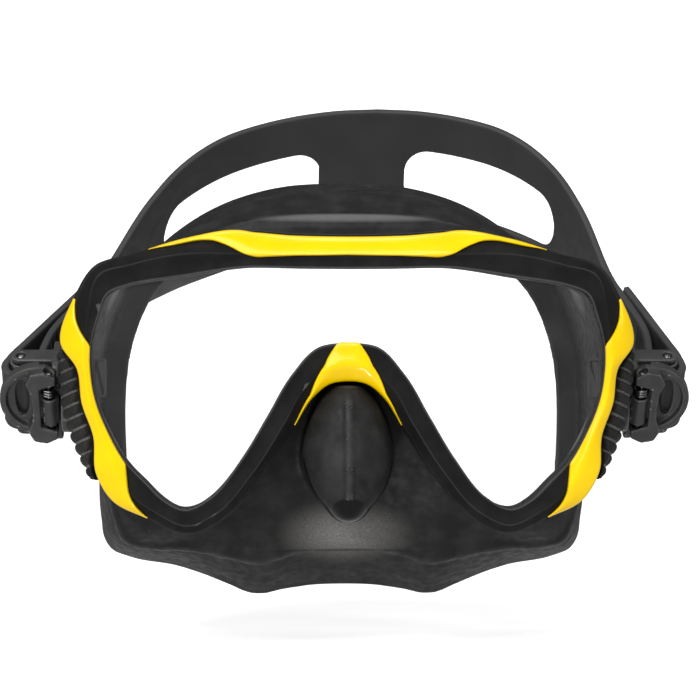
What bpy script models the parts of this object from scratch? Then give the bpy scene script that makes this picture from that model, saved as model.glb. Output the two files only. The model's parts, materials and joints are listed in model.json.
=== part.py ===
"""Single-lens snorkel mask: frame, lens, silicone skirt with nose pocket, trims, strap and swivel buckles.

Dimensions are millimetres in the constants and functions below, and metres in the finished meshes.
+X is the side seen at the right from the front, +Y points to the face, +Z is up.
The origin is the middle of the face seal; the buckles swivel on an axis along X through SWIVEL.
"""

import math

import bmesh
import bpy
from mathutils import Matrix, Vector

MM = 0.001

# ---- driving dimensions --------------------------------------------------------------------------
FRONT = -66.0          # foremost plane of the frame
LENS_FRONT = -64.7
LENS_THICK = 3.8
FLANGE_THICK = 3.0     # skirt flange clamped behind the lens
RETAINER_THICK = 3.0
RETAINER_IN = 1.3     # the retainer's inner edge past the opening
STACK_GAP = 0.3        # clearance between stacked pieces
FRAME_BACK = -54.0
LIP = 1.0              # frame lip in front of the lens
LENS_OVERLAP = 2.2     # how far the lens reaches past the opening
WALL_GAP = 0.3
TRIM_PROUD = 1.3
TRIM_GAP = 0.35
SWEEP_START = 74.0     # the frame curves back outside this half width
SWEEP_RATE = 0.03

SKIRT_WALL = 1.7
SKIRT_STEP = 1.3        # how far the inner surface lies behind the outer one where the skirt is flat
NECK_OUT = 0.75        # how far the skirt's neck reaches past the opening
NECK_WALL = 1.0
SKIRT_SEGMENTS = 72
SKIRT_FLARE = [(0.34, 0.10), (0.62, 0.26), (0.80, 0.46), (0.91, 0.70), (0.98, 0.90)]  # outwards, backwards
LIP_THICK = 2.2        # face seal lip, turned inwards
LIP_WIDTH = 9.0
NOSE_ROUND = 12.0      # depth of the nose pocket's rounded front
FACE_HALF = 75.0       # half width of the face seal
FACE_CURVE = 14.0      # how far the seal comes forward at the forehead

SWIVEL = Vector((0.0, -31.0, 0.0))
STRAP_TILT = math.radians(35.0)
STRAP_THICK = 2.4
STRAP_HALF = 10.0      # half width of a strap leg
PAD_HALF = 26.0        # half width of the back pad
PAD_HOLE_HALF = 11.5
PAD_RADIUS = 74.4
PAD_CENTRE = 48.6      # distance of the pad's arc centre behind the swivel axis
LEG_ANGLE = math.radians(66.7)
BRIDGE_HALF = 14.3
PAD_SHIFT = -4.7       # the pad's holes sit this far to one side of its middle
HOLE_END = 78.2        # arc length from the middle to a pad hole's outer end
TAPER_END = 131.0      # arc length from the middle to where a leg has its full narrowness
TAPER_LENGTH = 88.0
STRAP_LEAN = 0.114     # sideways lean of the loop per millimetre behind the swivel

# Side lugs and buckles. x is outwards from the middle plane, d backwards and w across the tilted strap.
BACK = Vector((0.0, math.cos(STRAP_TILT), math.sin(STRAP_TILT)))
UP = Vector((0.0, -math.sin(STRAP_TILT), math.cos(STRAP_TILT)))
LUG_IN, LUG_OUT = 80.4, 83.5
LUG_FRONT, LUG_REAR = -47.6, -24.0
LUG_LOW, LUG_HIGH = -12.8, 14.7
PLATE_IN, PLATE_OUT = 84.1, 86.4
PLATE_FRONT, PLATE_REAR = -9.0, 7.0
SWIVEL_R = 2.4
SWIVEL_HEAD_R, SWIVEL_HEAD_THICK = 4.0, 1.4
ARM_IN, ARM_OUT = 11.9, 13.7      # the roller's two arms, across the strap
ARM_HALF = 3.0
ROLLER_X = 95.8
ROLLER_D = -2.0
ROLLER_R = 3.2
LEVER_X = 87.0
LEVER_D = -13.2
LEVER_W = 3.5                     # the lever sits this far above the middle of the strap
BARREL_LOW, BARREL_HIGH = LEVER_W - 6.5, LEVER_W + 2.8
BARREL_R = 2.3
DISC_X, DISC_W, DISC_R = 89.6, LEVER_W + 0.5, 12.2
DISC_FRONT, DISC_BACK = -11.0, -8.9
DISC_RIM = 2.0
DISC_RIM_HEIGHT = 1.2
BAR_FRONT = -15.5
EYE_X, EYE_HALF, EYE_LONG = LEVER_X + 8.2, 2.0, 6.5
SPRING_LOW, SPRING_HIGH = BARREL_HIGH + 0.75, LEVER_W + 6.2
PIN_R = 1.1
PIN_CLEAR = 0.25
PIN_HALF = 11.4                   # half the lever pin's length
THROUGH = 20.0                    # half the length of a cutter that goes right through

# Half of the frame, from the top middle round to the nose arch: lens opening x, z; outer edge x, z;
# the place of the front ridge between them; how far the outer edge lies behind the ridge.
FRAME_STATIONS = [
    (0.0, 34.8, 0.0, 44.7, 0.36, 4.5),
    (15.0, 34.9, 16.0, 45.0, 0.36, 4.5),
    (29.5, 35.0, 31.0, 45.9, 0.36, 4.5),
    (48.8, 32.1, 48.0, 43.2, 0.60, 3.8),
    (62.9, 29.8, 61.5, 39.0, 0.66, 3.4),
    (68.8, 27.1, 72.6, 35.6, 0.66, 3.0),
    (71.2, 21.5, 78.6, 26.2, 0.40, 2.2),
    (73.4, 12.6, 82.4, 13.4, 0.20, 1.6),
    (73.4, 5.0, 77.6, 6.0, 0.40, 1.2),
    (72.0, -3.0, 76.2, -3.6, 0.40, 1.2),
    (68.6, -11.6, 72.9, -13.2, 0.40, 1.2),
    (63.1, -20.9, 72.0, -24.2, 0.40, 1.8),
    (57.9, -26.2, 67.4, -31.8, 0.50, 2.6),
    (52.2, -31.7, 57.7, -36.8, 0.60, 3.0),
    (45.7, -34.0, 46.0, -41.6, 0.64, 3.2),
    (39.3, -30.6, 37.0, -38.0, 0.64, 3.2),
    (30.8, -20.1, 25.5, -25.9, 0.64, 3.2),
    (23.2, -7.5, 15.8, -11.2, 0.64, 3.0),
    (16.0, 4.6, 10.2, -2.4, 0.60, 2.4),
    (8.6, 12.2, 5.2, 1.6, 0.60, 2.0),
    (0.0, 13.4, 0.0, 2.4, 0.60, 2.0),
]
STATION_STEPS = 3

# Trims as patches on the frame's front: station, place of the near edge, place of the far edge,
# where 0 is the lens opening and 1 the frame's outer edge.
TOP_TRIM = [
    (0.0, 0.38, 0.93),
    (1.0, 0.34, 0.93),
    (1.75, 0.25, 0.94),
    (2.0, 0.34, 1.0),
    (2.2, 0.58, 1.02),
    (2.45, 0.79, 1.01),
    (2.7, 0.86, 1.0),
    (3.2, 0.88, 1.0),
    (3.7, 0.97, 1.0),
]
SIDE_TRIM = [
    (6.0, 0.93, 1.0),
    (6.4, 0.62, 1.0),
    (7.0, 0.02, 1.0),
    (7.4, 0.02, 1.0),
    (8.0, 0.02, 1.0),
    (9.0, 0.02, 1.0),
    (10.0, 0.02, 1.0),
    (11.0, 0.04, 1.0),
    (12.0, 0.50, 1.0),
    (13.0, 0.95, 1.0),
]
NOSE_TRIM = [
    (17.1, 0.96, 1.0),
    (18.0, 0.86, 1.0),
    (19.0, 0.50, 1.0),
    (19.5, 0.12, 1.0),
    (19.65, -0.02, 1.0),
    (20.0, -0.02, 1.0),
]

# Half of the face seal's outline, from the forehead round to the upper lip.
SEAL_STATIONS = [
    (0.0, 62.4),
    (21.0, 61.0),
    (39.6, 55.0),
    (53.0, 46.4),
    (66.0, 33.0),
    (73.6, 15.0),
    (76.0, -5.0),
    (75.4, -25.0),
    (74.8, -40.0),
    (72.5, -49.5),
    (64.0, -53.0),
    (52.0, -54.8),
    (43.0, -57.4),
    (34.0, -60.9),
    (27.0, -63.4),
    (19.0, -62.0),
    (10.0, -60.6),
    (0.0, -60.2),
]

# Nose pocket sections from top to bottom: height, half width, foremost y.
NOSE_SECTIONS = [
    (1.2, 4.6, -66.0),
    (-2.0, 7.4, -68.2),
    (-8.0, 10.6, -70.2),
    (-16.0, 12.8, -71.8),
    (-26.0, 13.6, -73.0),
    (-32.0, 12.4, -73.0),
    (-36.0, 9.2, -70.8),
    (-38.0, 5.0, -67.0),
]
NOSE_BACK = -42.0
NOSE_SEGMENTS = 14

# Silhouette of a side grip: height and x of the rib roots.
GRIP_OUTLINE = [(11.5, 83.2), (-2.5, 82.4), (-12.0, 80.0), (-20.8, 76.4), (-26.0, 73.6)]
GRIP_RIBS = 8
RIB_HEIGHT = 1.5
GRIP_FRONT = -59.4
GRIP_BACK = -48.0


# ---- colours -------------------------------------------------------------------------------------
COLOURS = {
    "soft_black": ((0.020, 0.019, 0.020, 1.0), 0.62, 0.0),
    "silicone": ((0.028, 0.027, 0.027, 1.0), 0.55, 0.0),
    "strap_silicone": ((0.040, 0.040, 0.040, 1.0), 0.60, 0.0),
    "yellow": ((0.95, 0.78, 0.0, 1.0), 0.22, 0.0),
    "glass": ((0.85, 0.90, 0.88, 0.25), 0.03, 0.0),
    "buckle_plastic": ((0.045, 0.045, 0.045, 1.0), 0.42, 0.0),
    "steel": ((0.60, 0.60, 0.60, 1.0), 0.28, 1.0),
}


def material(slot):
    found = bpy.data.materials.get(slot)
    if found:
        return found
    colour, roughness, metallic = COLOURS[slot]
    made = bpy.data.materials.new(slot)
    made.use_nodes = True
    shader = made.node_tree.nodes["Principled BSDF"]
    shader.inputs["Base Color"].default_value = colour
    shader.inputs["Roughness"].default_value = roughness
    shader.inputs["Metallic"].default_value = metallic
    shader.inputs["Alpha"].default_value = colour[3]
    return made


# ---- curves and outlines -------------------------------------------------------------------------
def smooth(points, steps, closed):
    """A curve through points of any number of coordinates, with that many steps between two of them."""
    count = len(points)

    def at(i):
        return points[i % count] if closed else points[min(max(i, 0), count - 1)]

    def gap(i):
        return max(math.dist(at(i), at(i + 1)), 1e-6)

    def slope(i):
        if not closed and i in (0, count - 1):
            j = min(i, count - 2)
            return [(b - a) / gap(j) for a, b in zip(at(j), at(j + 1))]
        before, after = gap(i - 1), gap(i)
        return [
            ((c - b) / after * before + (b - a) / before * after) / (before + after)
            for a, b, c in zip(at(i - 1), at(i), at(i + 1))
        ]

    curve = []
    for i in range(count if closed else count - 1):
        length, start, end = gap(i), slope(i), slope(i + 1)
        for k in range(steps):
            t = k / steps
            h = (2 * t**3 - 3 * t**2 + 1, t**3 - 2 * t**2 + t, -2 * t**3 + 3 * t**2, t**3 - t**2)
            curve.append(
                [
                    h[0] * a + h[1] * length * m + h[2] * b + h[3] * length * n
                    for a, m, b, n in zip(at(i), start, at(i + 1), end)
                ]
            )
    if not closed:
        curve.append(list(at(count - 1)))
    return curve


def mirrored(half, x_places):
    """The whole closed outline from its right half, whose first and last points lie on the middle plane."""
    left = [
        tuple(-v if i in x_places else v for i, v in enumerate(p))
        for p in reversed(half[1:-1])
    ]
    return list(half) + left


def offset(loop, distance):
    """A clockwise closed outline of (x, z) points moved outwards."""
    count, moved = len(loop), []
    for i, (x, z) in enumerate(loop):
        before, after = loop[i - 1], loop[(i + 1) % count]
        tx, tz = after[0] - before[0], after[1] - before[1]
        length = math.hypot(tx, tz)
        moved.append((x - tz / length * distance, z + tx / length * distance))
    return moved


def table(rows, place):
    """The values of a table of rows at a place along its first column."""
    place = min(max(place, rows[0][0]), rows[-1][0])
    for a, b in zip(rows, rows[1:]):
        if place <= b[0]:
            t = (place - a[0]) / (b[0] - a[0])
            return [p + (q - p) * t for p, q in zip(a[1:], b[1:])]
    return list(rows[-1][1:])


# ---- mesh building -------------------------------------------------------------------------------
def make(name, slot, points, faces, origin=Vector()):
    """A named object from points in millimetres, with its origin at a point of its own."""
    mesh = bpy.data.meshes.new(name)
    mesh.from_pydata([(Vector(p) - origin) * MM for p in points], [], faces)
    work = bmesh.new()
    work.from_mesh(mesh)
    bmesh.ops.recalc_face_normals(work, faces=work.faces)
    work.to_mesh(mesh)
    work.free()
    mesh.materials.append(material(slot))
    made = bpy.data.objects.new(name, mesh)
    made.location = origin * MM
    bpy.context.scene.collection.objects.link(made)
    return made


def bridge(rows, across, along, caps):
    """Faces between rows of equal length. across closes each row, along joins the last row to the first."""
    width, count, faces = len(rows[0]), len(rows), []
    for i in range(count if along else count - 1):
        for j in range(width if across else width - 1):
            a, b = i * width, ((i + 1) % count) * width
            k = (j + 1) % width
            faces.append((a + j, a + k, b + k, b + j))
    if caps:
        faces.append(tuple(range(width)))
        faces.append(tuple((count - 1) * width + j for j in range(width)))
    return [p for row in rows for p in row], faces


def loft(name, slot, rows, origin=Vector()):
    points, faces = bridge(rows, True, False, True)
    return make(name, slot, points, faces, origin)


def ring(name, slot, loops):
    points, faces = bridge(loops, True, True, False)
    return make(name, slot, points, faces)


def combine(target, others, operation):
    """Applies Boolean modifiers with the other objects, which are then removed."""
    for other in others:
        cut = target.modifiers.new(operation.lower(), "BOOLEAN")
        cut.operation = operation
        cut.solver = "EXACT"
        cut.object = other
    bpy.context.view_layer.update()
    graph = bpy.context.evaluated_depsgraph_get()
    mesh = bpy.data.meshes.new_from_object(target.evaluated_get(graph))
    target.modifiers.clear()
    target.data = mesh
    for other in others:
        bpy.data.objects.remove(other)
    return target


def level(loop, y):
    return [(x, y, z) for x, z in loop]


# ---- the frame's front surface -------------------------------------------------------------------
FRAME_CURVE = smooth(mirrored(FRAME_STATIONS, (0, 2)), STATION_STEPS, True)
OPENING = [(p[0], p[1]) for p in FRAME_CURVE]


def sweep(x):
    return SWEEP_RATE * max(0.0, abs(x) - SWEEP_START) ** 2


def front_point(place, across):
    """A point on the frame's front at a station place (0 at the top middle, rising clockwise)."""
    index = place * STATION_STEPS
    low = math.floor(index)
    t = index - low
    a, b = FRAME_CURVE[low % len(FRAME_CURVE)], FRAME_CURVE[(low + 1) % len(FRAME_CURVE)]
    xi, zi, xo, zo, ridge, bevel = [p + (q - p) * t for p, q in zip(a, b)]
    x, z = xi + (xo - xi) * across, zi + (zo - zi) * across
    back = max(0.0, across - ridge) / (1.0 - ridge) * bevel
    return Vector((x, FRONT + back + sweep(x), z))


def ridge_at(place):
    return FRAME_CURVE[round(place * STATION_STEPS) % len(FRAME_CURVE)][4]


def front_frame():
    wall = offset(OPENING, LENS_OVERLAP + WALL_GAP)
    count = len(FRAME_CURVE)
    places = [i / STATION_STEPS for i in range(count)]
    outer = [front_point(u, 1.0) for u in places]
    loops = [
        level(OPENING, FRONT + LIP),
        level(OPENING, FRONT + 0.3),
        [front_point(u, 0.08) for u in places],
        [front_point(u, FRAME_CURVE[i][4]) for i, u in enumerate(places)],
        outer,
        [(p.x, FRAME_BACK + sweep(p.x), p.z) for p in outer],
        level(wall, FRAME_BACK),
        level(wall, FRONT + LIP),
    ]
    return ring("front_frame", "soft_black", loops)


def trim(name, rows, steps):
    """A raised patch over the frame's front, between two edges, with a crowned face."""
    count = round((rows[-1][0] - rows[0][0]) * steps)
    sections = []
    for i in range(count + 1):
        place = rows[0][0] + (rows[-1][0] - rows[0][0]) * i / count
        near, far = table(rows, place)
        ridge = (ridge_at(place) - near) / (far - near)
        ridge = ridge if 0.05 < ridge < 0.95 else 0.5
        crown = (0.0, ridge / 2, ridge, (1.0 + ridge) / 2, 1.0)
        face, back = [], []
        for c in crown:
            base = front_point(place, near + (far - near) * c)
            proud = TRIM_PROUD * (0.55 + 0.45 * math.sin(math.pi * c))
            face.append(base + Vector((0.0, -TRIM_GAP - proud, 0.0)))
            back.append(base + Vector((0.0, -TRIM_GAP, 0.0)))
        sections.append(face + back[::-1])
    return loft(name, "yellow", sections)


def mirror_rows(rows, last):
    """Rows of a trim's table reflected to the other half of the closed outline."""
    return [(last - r[0], *r[1:]) for r in reversed(rows)]


def trims():
    stations = 2.0 * (len(FRAME_STATIONS) - 1)
    left_top = [(-r[0], *r[1:]) for r in reversed(TOP_TRIM[1:])]
    trim("top_trim", left_top + TOP_TRIM, STATION_STEPS)
    trim("right_side_trim", SIDE_TRIM, STATION_STEPS)
    trim("left_side_trim", mirror_rows(SIDE_TRIM, stations), STATION_STEPS)
    trim("nose_trim", NOSE_TRIM + mirror_rows(NOSE_TRIM[:-1], stations), STATION_STEPS)


# ---- lens and retainer ---------------------------------------------------------------------------
def lens():
    outline = offset(OPENING, LENS_OVERLAP)
    return loft(
        "lens",
        "glass",
        [level(outline, LENS_FRONT), level(outline, LENS_FRONT + LENS_THICK)],
    )


FLANGE_FRONT = LENS_FRONT + LENS_THICK + STACK_GAP
FLANGE_BACK = FLANGE_FRONT + FLANGE_THICK


def retainer():
    front = FLANGE_BACK + STACK_GAP
    inner, outer = offset(OPENING, RETAINER_IN), offset(OPENING, LENS_OVERLAP)
    loops = [
        level(inner, front),
        level(outer, front),
        level(outer, front + RETAINER_THICK),
        level(inner, front + RETAINER_THICK),
    ]
    return ring("retainer", "soft_black", loops)


# ---- skirt ---------------------------------------------------------------------------------------
def seal_y(x):
    return -FACE_CURVE * max(0.0, 1.0 - (x / FACE_HALF) ** 2)


def along_outline(outline, fractions):
    """Points of a closed outline at fractions of its length."""
    ring_points = outline + outline[:1]
    lengths = [0.0]
    for a, b in zip(ring_points, ring_points[1:]):
        lengths.append(lengths[-1] + math.dist(a, b))
    found = []
    for fraction in fractions:
        rows = [(length, *p) for length, p in zip(lengths, ring_points)]
        found.append(tuple(table(rows, fraction * lengths[-1])))
    return found


def skirt_body(name, neck, inset, lip):
    """A closed solid filling the skirt, drawn in by the inset, and by the lip at the face seal."""
    fractions = [i / SKIRT_SEGMENTS for i in range(SKIRT_SEGMENTS)]
    neck_places = along_outline(offset(OPENING, neck), fractions)
    seal = smooth(mirrored(SEAL_STATIONS, (0,)), 6, True)
    rear = along_outline(seal, fractions)
    wall, rim = offset(rear, -inset), offset(rear, -lip)
    start = FRAME_BACK + 0.6
    step = SKIRT_STEP if inset > 0.0 else 0.0
    foremost = FLANGE_FRONT + FLANGE_THICK / 2 if inset == 0.0 else FLANGE_FRONT - 2.0
    rows = [level(neck_places, foremost), level(neck_places, start)]
    for spread, depth in SKIRT_FLARE:
        row = []
        for (xn, zn), (xr, zr) in zip(neck_places, wall):
            y = start + (seal_y(xr) - start) * depth + step * (1.0 - spread)
            row.append((xn + (xr - xn) * spread, y, zn + (zr - zn) * spread))
        rows.append(row)
    if lip > inset:
        rows.append([(x, seal_y(x) - LIP_THICK, z) for x, z in wall])
    rows.append([(x, seal_y(x) - LIP_THICK + 0.1, z) for x, z in rim])
    rows.append(level(rim, 8.0 + inset))
    return loft(name, "silicone", rows)


def nose_pocket(name, inset):
    """The nose pocket as a stack of rounded sections, drawn in by the inset."""
    rows = []
    for index, (z, half, front) in enumerate(NOSE_SECTIONS):
        shift = -inset * (1.0 - 2.0 * index / (len(NOSE_SECTIONS) - 1))
        section = []
        for k in range(NOSE_SEGMENTS + 1):
            angle = math.pi * k / NOSE_SEGMENTS
            x = (half - inset) * math.cos(angle)
            y = (front + inset + NOSE_ROUND) - NOSE_ROUND * math.sin(angle) ** 0.8
            section.append((x, y, z + shift))
        for x in (inset - half, half - inset):
            section.append((x, NOSE_BACK + inset, z + shift))
        rows.append(section)
    return loft(name, "silicone", rows)


def behind_face():
    """Everything behind the face seal's curved surface, to trim the skirt's rear edge."""
    rows, steps, far = [], 24, FACE_HALF + 15.0
    for i in range(steps + 1):
        x = far * (2.0 * i / steps - 1.0)
        rows.append([(x, y, z) for y, z in ((seal_y(x), -far), (seal_y(x), far), (20.0, far), (20.0, -far))])
    return loft("behind_face", "silicone", rows)


def skirt():
    outer = skirt_body("skirt", NECK_OUT, 0.0, 0.0)
    flange = offset(OPENING, LENS_OVERLAP)
    flange_plate = loft("flange", "silicone", [level(flange, FLANGE_FRONT), level(flange, FLANGE_BACK)])
    outer_nose = nose_pocket("outer_nose", 0.0)
    inner = skirt_body("inner", NECK_OUT - NECK_WALL, SKIRT_WALL, LIP_WIDTH)
    inner_nose = nose_pocket("inner_nose", SKIRT_WALL)
    combine(outer, [flange_plate, outer_nose], "UNION")
    combine(outer, [inner, inner_nose, behind_face()], "DIFFERENCE")
    return outer


# ---- side grips and lugs -------------------------------------------------------------------------
def side_grip(side, sign):
    """A ribbed block beside the frame, from its outer edge to the ribs' outline."""
    outline = [(-z, x) for z, x in GRIP_OUTLINE]
    steps = GRIP_RIBS * 4
    low, high = GRIP_OUTLINE[-1][0], GRIP_OUTLINE[0][0]
    beside = [(x, z) for _, _, x, z, _, _ in FRAME_CURVE if x > 66.0 and low - 4.0 < z < high + 8.0]
    frame_edge = sorted((-z, x) for x, z in beside)
    rows = []
    for i in range(steps + 1):
        z = high + (low - high) * i / steps
        root = table(outline, -z)[0]
        inner = table(frame_edge, -z)[0] + 0.5
        bulge = RIB_HEIGHT * abs(math.sin(math.pi * GRIP_RIBS * i / steps))
        x = root + bulge
        rows.append(
            [
                (sign * inner, GRIP_FRONT + 0.6, z),
                (sign * (inner + (x - inner) * 0.45), GRIP_FRONT - 0.6 * bulge, z),
                (sign * (x - 1.2), GRIP_FRONT + 1.2, z),
                (sign * x, GRIP_FRONT + 4.0, z),
                (sign * (x - 0.6), GRIP_BACK, z),
                (sign * max(inner, x - 4.6), GRIP_BACK, z),
                (sign * inner, GRIP_BACK - 6.0, z),
            ]
        )
    return loft(f"{side}_grip", "soft_black", rows)


def disc(name, slot, centre, axis, radius, length, segments=24, hole=0.0):
    """A cylinder or tube about an axis, starting at its centre point."""
    axis = axis.normalized()
    across = axis.orthogonal().normalized()
    up = axis.cross(across)

    def circle(r, along):
        return [
            centre
            + axis * along
            + across * r * math.cos(math.tau * k / segments)
            + up * r * math.sin(math.tau * k / segments)
            for k in range(segments)
        ]

    if hole:
        loops = [circle(hole, 0.0), circle(radius, 0.0), circle(radius, length), circle(hole, length)]
        points, faces = bridge(loops, True, True, False)
        return make(name, slot, points, faces, centre)
    return loft(name, slot, [circle(radius, 0.0), circle(radius, length)], centre)


def plate(name, slot, outline, low, high, place):
    """An extruded outline; place turns (outline a, outline b, height) into a point."""
    return loft(name, slot, [[place(a, b, h) for a, b in outline] for h in (low, high)])


def rounded(a0, a1, b0, b1, radius, segments=4):
    """A rounded rectangle's outline."""
    outline = []
    corners = ((a1 - radius, b1 - radius, 0), (a0 + radius, b1 - radius, 1))
    corners += ((a0 + radius, b0 + radius, 2), (a1 - radius, b0 + radius, 3))
    for a, b, quarter in corners:
        for k in range(segments + 1):
            angle = math.pi / 2 * (quarter + k / segments)
            outline.append((a + radius * math.cos(angle), b + radius * math.sin(angle)))
    return outline


def side_lug(side, sign):
    outline = rounded(LUG_FRONT, LUG_REAR, LUG_LOW, LUG_HIGH, 6.0)

    def place(y, z, x):
        return Vector((sign * x, y, z))

    body = plate(f"{side}_lug", "buckle_plastic", outline, LUG_IN, LUG_OUT, place)
    axis = Vector((sign, 0.0, 0.0))
    hole = disc("hole", "steel", SWIVEL + axis * (LUG_IN - THROUGH), axis, SWIVEL_R + PIN_CLEAR, 2 * THROUGH)
    combine(body, [hole], "DIFFERENCE")
    start = SWIVEL + axis * (LUG_IN + 0.1)
    pin = disc(f"{side}_swivel_pin", "steel", start, axis, SWIVEL_R, PLATE_OUT + 0.6 - LUG_IN, 20)
    head_start = SWIVEL + axis * (PLATE_OUT + STACK_GAP)
    head = disc("head", "steel", head_start, axis, SWIVEL_HEAD_R, SWIVEL_HEAD_THICK, 20)
    combine(pin, [head], "UNION")


# ---- buckles -------------------------------------------------------------------------------------
def in_buckle(sign):
    """A function that turns buckle coordinates (outwards, back along the strap, across it) into a point."""
    return lambda x, d, w: SWIVEL + Vector((sign * x, 0.0, 0.0)) + BACK * d + UP * w


def pin_hole(at, x, d):
    return disc("pin_hole", "steel", at(x, d, -THROUGH), UP, PIN_R + PIN_CLEAR, 2 * THROUGH, 16)


def buckle_housing(side, sign):
    at = in_buckle(sign)
    outward = Vector((sign, 0.0, 0.0))
    inset = 0.05           # keeps joined faces out of one plane

    def flat(d, w, x):
        return at(x, d, w)

    outline = rounded(PLATE_FRONT, PLATE_REAR, -ARM_OUT, ARM_OUT, 3.0)
    body = plate(f"{side}_buckle_housing", "buckle_plastic", outline, PLATE_IN, PLATE_OUT, flat)
    arm = rounded(PLATE_IN + inset, ROLLER_X + 2.6, ROLLER_D - ARM_HALF, ROLLER_D + ARM_HALF, 2.6)
    parts = [
        plate("arm", "buckle_plastic", arm, low + inset, low + ARM_OUT - ARM_IN - inset, at)
        for low in (-ARM_OUT, ARM_IN)
    ]
    web = rounded(LEVER_D - 0.8, PLATE_FRONT + 2.0, BARREL_LOW + 0.3, BARREL_HIGH - 0.3, 1.0)
    parts.append(plate("web", "buckle_plastic", web, PLATE_IN + 2 * inset, PLATE_OUT - 2 * inset, flat))
    start = at(LEVER_X, LEVER_D, BARREL_LOW)
    parts.append(disc("barrel", "buckle_plastic", start, UP, BARREL_R, BARREL_HIGH - BARREL_LOW, 20))
    combine(body, parts, "UNION")
    pivot = disc("pivot", "steel", at(PLATE_IN - 2.0, 0.0, 0.0), outward, SWIVEL_R + PIN_CLEAR, 6.0)
    combine(body, [pivot, pin_hole(at, LEVER_X, LEVER_D), pin_hole(at, ROLLER_X, ROLLER_D)], "DIFFERENCE")
    return body


def roller(side, sign):
    at = in_buckle(sign)
    half = ARM_IN - 0.4
    start = at(ROLLER_X, ROLLER_D, -half)
    disc(f"{side}_roller", "buckle_plastic", start, UP, ROLLER_R, 2 * half, 20, PIN_R + PIN_CLEAR)
    half = ARM_OUT - 0.2
    disc(f"{side}_roller_pin", "steel", at(ROLLER_X, ROLLER_D, -half), UP, PIN_R, 2 * half, 16)


def dog_bone():
    """Outline (x, w) of the lever's bar: a waisted strip with a round knob at each end."""
    half = [
        (DISC_X, 0.0),
        (DISC_X, 6.8),
        (LEVER_X - 2.2, 8.4),
        (LEVER_X - 2.2, 11.0),
        (LEVER_X + 1.2, 12.8),
        (LEVER_X + 5.0, 12.0),
        (LEVER_X + 6.6, 8.6),
        (LEVER_X + 5.2, 5.0),
    ]
    right = (LEVER_X + 4.8, 0.0)
    lower = [(x, -w) for x, w in reversed(half[1:])]
    return [(x, LEVER_W + w) for x, w in half + [right] + lower]


def release_lever(side, sign):
    at = in_buckle(sign)
    name = f"{side}_release_lever"
    arc = [math.pi * (k / 28 - 0.5) for k in range(29)]

    def across(x, w, d):
        return at(x, d, w)

    def paddle(label, radius, low, high):
        outline = [(DISC_X + radius * math.cos(a), DISC_W + radius * math.sin(a)) for a in arc]
        return plate(label, "buckle_plastic", outline, low, high, across)

    body = paddle(name, DISC_R, DISC_FRONT - DISC_RIM_HEIGHT, DISC_BACK)
    recess = paddle("recess", DISC_R - DISC_RIM, DISC_FRONT - 3.0, DISC_FRONT + 0.6)
    combine(body, [recess], "DIFFERENCE")
    bar = plate("bar", "buckle_plastic", dog_bone(), BAR_FRONT, DISC_FRONT + 0.8, across)
    combine(body, [bar], "UNION")
    turns = [math.tau * k / 16 for k in range(16)]
    eye = [(EYE_X + EYE_HALF * math.cos(a), DISC_W + EYE_LONG * math.sin(a)) for a in turns]
    slot = plate("slot", "buckle_plastic", eye, DISC_FRONT - 6.0, DISC_BACK + 3.0, across)
    combine(body, [slot, pin_hole(at, LEVER_X, LEVER_D)], "DIFFERENCE")
    pivot = at(LEVER_X, LEVER_D, LEVER_W) * MM
    body.data.transform(Matrix.Translation(body.location - pivot))
    body.location = pivot
    start = at(LEVER_X, LEVER_D, LEVER_W - PIN_HALF)
    disc(f"{side}_lever_pin", "steel", start, UP, PIN_R, 2 * PIN_HALF, 16)


def lever_spring(side, sign):
    """A torsion coil round the lever's pin."""
    at = in_buckle(sign)
    turns, per_turn, wire, radius = 3, 10, 0.35, 1.95
    rows = []
    for i in range(turns * per_turn + 1):
        angle = math.tau * i / per_turn
        middle = SPRING_LOW + (SPRING_HIGH - SPRING_LOW) * i / (turns * per_turn)
        row = []
        for k in range(5):
            around = math.tau * k / 5
            r = radius + wire * math.cos(around)
            x, d = LEVER_X + r * math.cos(angle), LEVER_D + r * math.sin(angle)
            row.append(at(x, d, middle + wire * math.sin(around)))
        rows.append(row)
    loft(f"{side}_lever_spring", "steel", rows)


# ---- strap ---------------------------------------------------------------------------------------
def strap_path():
    """Points (x, s) of the strap's middle line from the pad's middle to the end of the right-hand tail."""
    arc = [LEG_ANGLE * k / 6 for k in range(7)]
    points = [(PAD_RADIUS * math.sin(a), PAD_CENTRE + PAD_RADIUS * math.cos(a)) for a in arc]
    points += [(79.4, 42.0), (87.4, 16.0), (90.9, 4.0)]
    wrap = ROLLER_R + 0.4 + STRAP_THICK / 2
    for degrees in (190, 225, 270, 315, 350):
        a = math.radians(degrees)
        points.append((ROLLER_X + wrap * math.cos(a), ROLLER_D + wrap * math.sin(a)))
    points += [(99.6, 3.0), (96.8, 10.0), (93.9, 17.0), (88.5, 30.0), (84.3, 40.0)]
    return smooth(points, 3, False)


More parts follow.
